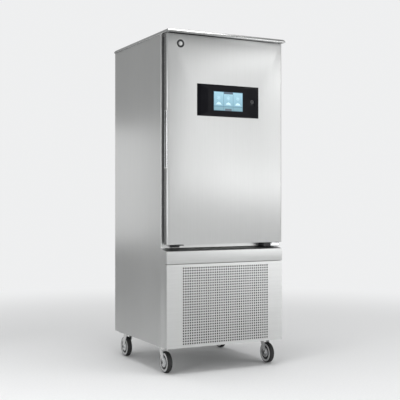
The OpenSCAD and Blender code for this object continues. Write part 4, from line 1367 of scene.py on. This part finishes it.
@dataclass
class MachineBay(Assembly):
    """Compressor, condenser and the rest of the cooling circuit."""

    shell_radius: float = 0.086
    shell_rise: float = 0.006
    stub_x: float = 0.092
    stub_y: float = 0.074
    lid_inset: float = 0.004
    lid_rise: float = 0.0040
    lid_edge: float = 0.0018
    lid_screw_inset: float = 0.014

    def build(self) -> None:
        """Dress the machine compartment and build its fan, fins and small trim."""
        p, dress = self.palette, self.dresser.dress
        dress(p.black_paint, 0.0015, "compressor", "liquid_receiver")
        dress(p.rubber, 0.001, "compressor_mounts")
        # The condenser coil takes the darkened fin finish: painted shade behind the grille.
        dress(p.shaded_fins, 0.0, "condenser_coil")
        dress(p.black_paint, 0.0004, "condenser_shroud")
        dress(p.black_paint, 0.0008, "condenser_fan_motor")
        dress(p.copper, 0.0, "filter_drier", "refrigerant_pipes")
        dress(p.grey_plastic, 0.003, "electrical_box")
        dress(p.black_plastic, 0.001, "condensate_tray")
        FanWheel(
            "condenser_fan_wheel", "condenser_fan", "condenser_fan", p, hub=0.044, sense=-1,
            root_chord=0.052, tip_chord=0.098, root_pitch=33.0, tip_pitch=16.0,
            depth=0.034, shaft=0.040,
        ).build()
        # The condenser fins take the darkened fin finish: painted shade behind the grille.
        FinPack(
            "condenser_fins", "condenser_coil", gap=0.0045, thickness=0.00025,
            front=0.0065, back=0.001, bottom=0.021, top=0.007,
        ).build(p.shaded_fins)
        self.build_compressor_trim()
        self.build_box_lid()

    def build_compressor_trim(self) -> None:
        """Add the shell's weld bead and the collars of its pipe stubs."""
        shell = Box.of("compressor")
        mounts = Box.of("compressor_mounts")
        x, y = mounts.centre.x, mounts.centre.y
        z = shell.low.z + self.shell_rise
        r = self.shell_radius
        bead = Solid()
        profile = [
            (r - 0.0012, z + 0.118), (r + 0.0016, z + 0.119), (r + 0.0030, z + 0.1215),
            (r + 0.0030, z + 0.1245), (r + 0.0016, z + 0.127), (r - 0.0012, z + 0.128),
        ]
        bead.lathe([*profile, profile[0]], Matrix.Translation((x, y, 0)), 64)
        for i in range(4):
            dx, dy = (1, -1)[i % 2] * self.stub_x, (1, -1)[i // 2] * self.stub_y
            bead.lathe(
                [(0.011, z), (0.011, z + 0.0016), (0.0062, z + 0.0018), (0.0056, z), (0.011, z)],
                Matrix.Translation((x + dx, y + dy, 0)), 24,
            )
        bead.piece("compressor_weld", self.palette.black_paint, "cabinet", "black_steel")

    def build_box_lid(self) -> None:
        """Add the electrical box's lid with its screws."""
        box = Box.of("electrical_box")
        face, inset = box.high.x, self.lid_inset
        lid = Solid()
        lid.block(
            (face - 0.0005, box.low.y + inset, box.low.z + inset),
            (face + self.lid_rise, box.high.y - inset, box.high.z - inset), self.lid_edge,
        )
        lid.piece("electrical_box_lid", self.palette.grey_plastic, "cabinet", "grey_plastic")
        heads = Solid()
        inset = self.lid_screw_inset
        for y in (box.low.y + inset, box.high.y - inset):
            for z in (box.low.z + inset, box.high.z - inset):
                heads.screw(facing((face + self.lid_rise - 0.0001, y, z), (1, 0, 0)))
        heads.piece("electrical_box_screws", self.palette.bright, "cabinet", "bright_steel")


# ------------------------------------------------------------------ door


@dataclass
class Door(Assembly):
    """Door leaf with its seal, handle, badge and bushes."""

    hem_inset: float = 0.0004
    hem_turn: float = 0.0005
    grooves: int = 4
    lip_radius: float = 0.0048
    lip_bulge: float = 0.0020
    enamel_outer: float = 0.0042
    enamel_inner: float = 0.0158

    def build(self) -> None:
        """Dress the leaf and build its seal, hem, edge strips, handle lip and badge ring."""
        p, dress = self.palette, self.dresser.dress
        dress(p.upright, 0.0012, "door_skin")
        dress(p.foam, 0.0, "door_insulation")
        dress(p.black_plastic, 0.0015, "door_inner_frame")
        dress(p.black_plastic, 0.0005, "hinge_bushes")
        dress(p.lining, 0.0020, "door_liner")
        dress(p.bright, 0.0010, "handle_cup")
        dress(p.level, 0.0004, "door_badge")
        self.build_seal()
        self.build_hem()
        self.build_edge_trim()
        self.build_badge_ring()

    def build_hem(self) -> None:
        """Fold the skin's back edge in as far as the inner frame."""
        skin, frame = Box.of("door_skin"), Box.of("door_inner_frame")
        reach = frame.low.x - skin.low.x + 0.0006
        y, inset, back = skin.high.y, self.hem_inset, skin.high.y + self.hem_turn
        hem = Solid()
        hem.band(
            (skin.low.x + inset, skin.high.x - inset, skin.low.z + inset, skin.high.z - inset),
            [(0.0, y - 0.0002), (0.0004, back), (reach, back), (reach, y - 0.0002)],
        )
        hem.piece("door_hem", self.palette.upright, "door", "brushed_steel")

    def build_edge_trim(self) -> None:
        """Lay the grooved strips along the door's free edge and roll the handle's lip."""
        skin, cup = Box.of("door_skin"), Box.of("handle_cup")
        x, front, back = skin.low.x, skin.low.y + 0.013, skin.high.y - 0.0008
        outline = [(x + 0.0006, front), (x - 0.0003, front + 0.0008)]
        for i in range(1, self.grooves + 1):
            y = front + (back - front) * i / (self.grooves + 1)
            outline += [(x - 0.0005, y - 0.0011), (x + 0.0001, y - 0.0004)]
            outline += [(x + 0.0001, y + 0.0004), (x - 0.0005, y + 0.0011)]
        outline += [(x - 0.0003, back - 0.0008), (x + 0.0006, back)]
        trim = Solid()
        trim.plate(outline, 2, skin.low.z + 0.003, cup.low.z - 0.001)
        trim.plate(outline, 2, cup.high.z + 0.001, skin.high.z - 0.003)
        trim.piece("door_edge_trim", self.palette.edge_plastic, "door", "black_plastic")
        lip = Solid()
        front = cup.low.y + 0.0008
        outline = [(cup.low.x + 0.0009, front)]
        for i in range(9):
            angle = math.radians(180 * i / 8)
            x, y = self.lip_bulge * math.sin(angle), self.lip_radius * math.cos(angle)
            outline.append((cup.low.x - 0.0002 - x, front + 0.0054 - y))
        outline.append((cup.low.x + 0.0009, front + 0.0108))
        lip.plate(outline, 2, cup.low.z + 0.0006, cup.high.z - 0.0006)
        lip.piece("handle_lip", self.palette.bright, "door", "bright_steel", 40.0)

    def build_badge_ring(self) -> None:
        """Set a dark enamel ring into the badge's sunken groove."""
        box = Box.of("door_badge")
        outer, inner = (box.size.x / 2 - inset for inset in (self.enamel_outer, self.enamel_inner))
        ring = Solid()
        ring.lathe(
            [(inner, 0.0), (inner, 0.0007), (inner + 0.0006, 0.0010), (outer - 0.0006, 0.0010),
             (outer, 0.0007), (outer, 0.0), (inner, 0.0)],
            facing((box.centre.x, box.low.y + 0.0011, box.centre.z), (0, -1, 0)), 56,
        )
        ring.piece("badge_enamel", self.palette.black_plastic, "door", "black_plastic")

    def build_seal(self) -> None:
        """Sweep the seal's hollow bellows section round the door."""
        box = Box.of("door_gasket")
        y0, y1 = box.low.y, box.high.y
        deep = y1 - y0
        profile = [
            (0.0040, y0), (0.0040, y0 + 0.16 * deep), (0.0015, y0 + 0.22 * deep),
            (0.0002, y0 + 0.34 * deep), (0.0015, y0 + 0.46 * deep), (0.0036, y0 + 0.53 * deep),
            (0.0012, y0 + 0.60 * deep), (0.0002, y0 + 0.76 * deep), (0.0010, y0 + 0.94 * deep),
            (0.0024, y1), (0.0170, y1), (0.0188, y0 + 0.95 * deep), (0.0198, y0 + 0.80 * deep),
            (0.0186, y0 + 0.62 * deep), (0.0160, y0 + 0.53 * deep), (0.0184, y0 + 0.44 * deep),
            (0.0196, y0 + 0.32 * deep), (0.0182, y0 + 0.20 * deep), (0.0156, y0 + 0.14 * deep),
            (0.0156, y0),
        ]
        seal = Solid()
        seal.band((box.low.x, box.high.x, box.low.z, box.high.z), profile)
        piece = seal.piece("door_seal", self.palette.rubber, "door", "black_rubber", 50.0)
        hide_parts("door_gasket")


@dataclass
class ControlPanel(Assembly):
    """Black glass with the lit screen and its push button."""

    layer: float = 0.00006
    columns: int = 3
    column_start: float = 0.012
    column_step: float = 0.330
    column_width: float = 0.316
    tile_height: Pair = (0.245, 0.975)
    bar_height: Pair = (0.03, 0.205)
    top_tab: tuple[float, float, float, float] = (0.345, 0.655, 0.885, 1.0)
    low_tab: tuple[float, float, float, float] = (0.385, 0.615, 0.0, 0.115)
    dome_place: float = 0.34
    star_place: float = 0.68
    tile_corner: float = 0.003
    tab_corner: float = 0.002
    sign_radius: float = 0.0036
    sign_wire: float = 0.00035
    dome_radius: float = 0.0155
    knob_radius: float = 0.0019
    knob_rise: float = 0.0130
    plate_half: float = 0.0185
    star_reach: float = 0.0125
    star_fork: float = 0.0070
    star_twig: float = 0.0048

    def build(self) -> None:
        """Dress the glass, draw the screen's picture and trim the push button."""
        p, dress = self.palette, self.dresser.dress
        dress(p.glass, 0.0005, "control_glass")
        dress(p.black_plastic, 0.0008, "control_housing")
        dress(p.black_plastic, 0.0006, "power_button")
        self.screen = Box.of("touch_screen")
        low, high = self.screen.low.z, self.screen.high.z
        ground = Lit("screen_ground", (0.15, 0.27, 0.33), (0.20, 0.35, 0.43), low, high).build()
        dress(ground, 0.0, "touch_screen")
        self.draw_tiles()
        self.build_button_trim()

    def build_button_trim(self) -> None:
        """Ring the push button and raise the power sign on it."""
        box = Box.of("power_button")
        face = Box.of("control_glass").low.y + 0.0001
        place = facing((box.centre.x, face, box.centre.z), (0, -1, 0))
        bezel = Solid()
        bezel.lathe(
            [(0.0096, 0.0), (0.0098, 0.0005), (0.0104, 0.0007), (0.0112, 0.0005),
             (0.0116, 0.0), (0.0096, 0.0)],
            place, 48,
        )
        bezel.piece("button_bezel", self.palette.edge_plastic, "door", "black_plastic")
        sign = Solid()
        y = box.low.y - 0.00012
        arc = [polar(self.sign_radius, math.radians(125 + 290 * i / 20)) for i in range(21)]
        for stroke in (arc, ((0.0, 0.0008), (0.0, 0.0046))):
            path = [Vector((box.centre.x + x, y, box.centre.z + z)) for x, z in stroke]
            sign.tube(path, self.sign_wire, 8)
        sign.piece("power_sign", self.palette.grey_plastic, "power_button", "grey_plastic")

    def span(self, x0: float, x1: float, z0: float, z1: float) -> tuple[Pair, Pair]:
        """Turn shares of the screen, counted from its left and bottom, into places.

        Args:
            x0: Left end.
            x1: Right end.
            z0: Lower end.
            z1: Upper end.

        Returns:
            The ends along X and along Z.
        """
        low, size = self.screen.low, self.screen.size
        return (
            (low.x + x0 * size.x, low.x + x1 * size.x),
            (low.z + z0 * size.z, low.z + z1 * size.z),
        )

    def sheet(self, art: Solid, outline: Sequence[Pair], level: int) -> None:
        """Add a thin printed shape in front of the screen.

        Args:
            art: The mesh that takes it.
            outline: Its outline in X and Z.
            level: How many layers in front of the glass it lies.
        """
        y = self.screen.low.y - self.layer * level
        art.plate(outline, 1, y, y + self.layer * 0.8)

    def draw_tiles(self) -> None:
        """Draw tiles, domes, tabs and the bar below them."""
        tiles, tabs, domes, bar = Solid(), Solid(), Solid(), Solid()
        for i in range(self.columns):
            left = self.column_start + i * self.column_step
            right = left + self.column_width
            x, z = self.span(left, right, *self.tile_height)
            self.sheet(tiles, rounded(x, z, self.tile_corner), 1)
            x, z = self.span(left, right, *self.bar_height)
            self.sheet(bar, rounded(x, z, self.tab_corner), 1)
            mid = left + self.column_width / 2
            self.draw_dome(domes, mid, self.dome_place)
            self.draw_star(domes, mid, self.star_place)
        for tab in (self.top_tab, self.low_tab):
            x, z = self.span(*tab)
            self.sheet(tabs, rounded(x, z, self.tab_corner), 3)
        low, high = self.screen.low.z, self.screen.high.z
        for art, name, finish, bottom, top in (
            (tiles, "screen_tiles", "screen_tile", (0.23, 0.40, 0.47), (0.38, 0.56, 0.63)),
            (bar, "screen_bar", "screen_bar", (0.24, 0.39, 0.44), (0.24, 0.42, 0.48)),
            (domes, "screen_icons", "screen_icon", (0.62, 0.74, 0.78), (0.46, 0.64, 0.70)),
            (tabs, "screen_tabs", "screen_tab", (0.14, 0.18, 0.22), (0.10, 0.15, 0.20)),
        ):
            lit = Lit(finish, bottom, top, low, high).build()
            art.piece(name, lit, "door", "screen_glass")

    def draw_dome(self, art: Solid, x: float, z: float) -> None:
        """Draw a serving dome with its knob on a plate.

        Args:
            art: The mesh that takes it.
            x: Its middle as a share of the screen's width.
            z: Its base as a share of the screen's height.
        """
        size = self.screen.size
        cx = self.screen.low.x + x * size.x
        cz = self.screen.low.z + z * size.z
        radius = self.dome_radius
        turns = [math.pi * i / 20 for i in range(21)]
        arc = [(cx + radius * math.cos(a), cz + 0.72 * radius * math.sin(a)) for a in turns]
        self.sheet(art, arc, 2)
        x = (cx - self.plate_half, cx + self.plate_half)
        plate = rounded(x, (cz - 0.0036, cz - 0.0012), 0.0011)
        self.sheet(art, plate, 2)
        top = cz + self.knob_rise
        self.sheet(art, [(cx + dx, top + dz) for dx, dz in circle(self.knob_radius, 16)], 2)

    def draw_star(self, art: Solid, x: float, z: float) -> None:
        """Draw a six-armed snow star.

        Args:
            art: The mesh that takes it.
            x: Its middle as a share of the screen's width.
            z: Its middle as a share of the screen's height.
        """
        size = self.screen.size
        centre = Vector((self.screen.low.x + x * size.x, self.screen.low.z + z * size.z))
        for arm in range(3):
            angle = math.radians(90 + 60 * arm)
            along = Vector((math.cos(angle), math.sin(angle)))
            side = Vector((-along.y, along.x))
            arms = along * self.star_reach
            self.bar(art, centre - arms, centre + arms, side, 0.0008)
            for way in (-1, 1):
                root = centre + along * self.star_fork * way
                for turn in (-1, 1):
                    tip = root + (along * way + side * turn).normalized() * self.star_twig
                    across = Vector((-(tip - root).y, (tip - root).x)).normalized()
                    self.bar(art, root, tip, across, 0.0006)

    def bar(self, art: Solid, start: Vector, stop: Vector, across: Vector, half: float) -> None:
        """Add a thin straight stroke.

        Args:
            art: The mesh that takes it.
            start: One end, in X and Z.
            stop: The other end.
            across: Unit direction across the stroke.
            half: Half of its width.
        """
        side = across * half
        points = [start - side, stop - side, stop + side, start + side]
        self.sheet(art, [(point.x, point.y) for point in points], 2)


# ------------------------------------------------------------------ castors


@dataclass
class Castor(Assembly):
    """One swivel castor: fork, wheel and tyre."""

    corner: str
    tread: float = 0.0075
    flange: float = 0.042
    boss: float = 0.027
    bore: float = 0.0062
    crown: float = 0.0065
    shoulder: float = 0.93
    nut: float = 0.0105
    shade_disc_inset: float = 0.0036
    cap_rise: float = 0.0008

    def build(self) -> None:
        """Dress the fork and turn the tyre, the wheel and the small parts of the axle."""
        self.dresser.dress(self.palette.zinc, 0.0008, f"{self.corner}_fork")
        tyre = Box.of(f"{self.corner}_tyre")
        self.axle = tyre.centre
        self.radius = tyre.size.z / 2
        self.half = tyre.size.x / 2
        self.build_tyre()
        self.build_wheel()
        self.build_fork_trim()

    def turned(
        self, name: str, profile: Sequence[Pair], material: Material, slot: str
    ) -> None:
        """Turn a piece about the axle and let it stand for its CAD node.

        Args:
            name: The node's name without its corner.
            profile: Radius and axial place of each point, in a loop.
            material: Its finish.
            slot: The record's material slot.
        """
        solid = Solid()
        solid.lathe([*profile, profile[0]], facing(self.axle, (1, 0, 0)), 96)
        body = f"{self.corner}_roller"
        piece = solid.piece(f"{self.corner}_{name}_turned", material, body, slot, 40.0)
        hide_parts(f"{self.corner}_{name}")

    def build_tyre(self) -> None:
        """Turn the rubber tread with its crown and shoulders."""
        r, h = self.radius, self.half
        sines = [math.sin(math.radians(5 * i)) for i in range(-16, 17)]
        crown = [(r - self.crown * abs(sine) ** 4, h * sine) for sine in sines]
        inner = r - self.tread
        edge = h * self.shoulder
        profile = [(inner, -edge), *crown, (inner, edge), (inner - 0.001, 0.0)]
        self.turned("tyre", profile, self.palette.tyre, "grey_tyre")

    def build_wheel(self) -> None:
        """Turn the wheel with its flanges and boss, thin black discs of painted shade over its
        recessed webs, and its hub caps.
        """
        rim, h, boss, flange = self.radius - self.tread, self.half, self.boss, self.flange
        side = [
            (self.bore, h + 0.0010), (boss, h + 0.0010), (boss + 0.0012, h - 0.0005),
            (boss + 0.0016, 0.0080), (boss + 0.004, 0.0050), (flange - 0.004, 0.0050),
            (flange - 0.0014, 0.0075), (flange, h - 0.0024), (flange + 0.0016, h - 0.0004),
            (rim - 0.0012, h - 0.0004), (rim + 0.0004, h - 0.0020),
        ]
        profile = [*side, *[(radius, -x) for radius, x in reversed(side)]]
        self.turned("wheel", profile, self.palette.wheel_plastic, "wheel_plastic")
        # Thin black discs laid on the recessed webs between boss and flange: painted shade in the
        # wheel's hollows.
        shade_discs, caps = Solid(), Solid()
        for way in (-1, 1):
            place = facing(self.axle + Vector((way * (h - self.shade_disc_inset), 0, 0)), (way, 0, 0))
            inner, outer = boss + 0.0006, flange - 0.0004
            shade_discs.lathe(
                [(inner, 0.0), (inner, 0.0010), (outer, 0.0010), (outer, 0.0), (inner, 0.0)],
                place, 72,
            )
            cap = facing(self.axle + Vector((way * (h + self.cap_rise), 0, 0)), (way, 0, 0))
            dish = [(0.0, 0.0), (boss - 0.001, 0.0), (boss - 0.002, 0.0007), (0.0, 0.0009)]
            caps.lathe(dish, cap)
        p, body = self.palette, f"{self.corner}_roller"
        shade_discs.piece(f"{self.corner}_painted_shade_discs", p.black_plastic, body, "black_plastic")
        caps.piece(f"{self.corner}_hub_caps", p.bright, body, "bright_steel")

    def build_fork_trim(self) -> None:
        """Add hexagon nuts with washers on the axle's ends."""
        fork = Box.of(f"{self.corner}_fork")
        nuts = Solid()
        for way, end in ((-1, fork.low.x), (1, fork.high.x)):
            place = facing((end, self.axle.y, self.axle.z), (-way, 0, 0))
            rings = [
                [tuple(place @ Vector((a * f, b * f, z))) for a, b in circle(self.nut, 6)]
                for f, z in ((0.86, 0.0), (0.98, 0.0008), (1.0, 0.0042), (0.96, 0.0048))
            ]
            nuts.stack(rings)
            washer = [(0.0, 0.0040), (0.0135, 0.0040), (0.0138, 0.0044), (0.0138, 0.0053)]
            nuts.lathe([*washer, (0.0, 0.0053)], place, 40)
        body = f"{self.corner}_castor"
        nuts.piece(f"{self.corner}_axle_nuts", self.palette.bright, body, "bright_steel")


def main() -> None:
    """Build the machine's looks in order."""
    logging.basicConfig(level=logging.INFO, format="%(message)s")
    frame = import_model()
    palette = Palette()
    dresser = Dresser(frame["nodes"])
    Studio().build()
    Cabinet(dresser, palette).build()
    Chamber(dresser, palette).build()
    MachineBay(dresser, palette).build()
    Door(dresser, palette).build()
    ControlPanel(dresser, palette).build()
    dresser.dress(palette.zinc, 0.0008, "castor_plates")
    for corner in ("front_left", "front_right", "rear_left", "rear_right"):
        Castor(dresser, palette, corner).build()


if __name__ == "__main__":
    main()
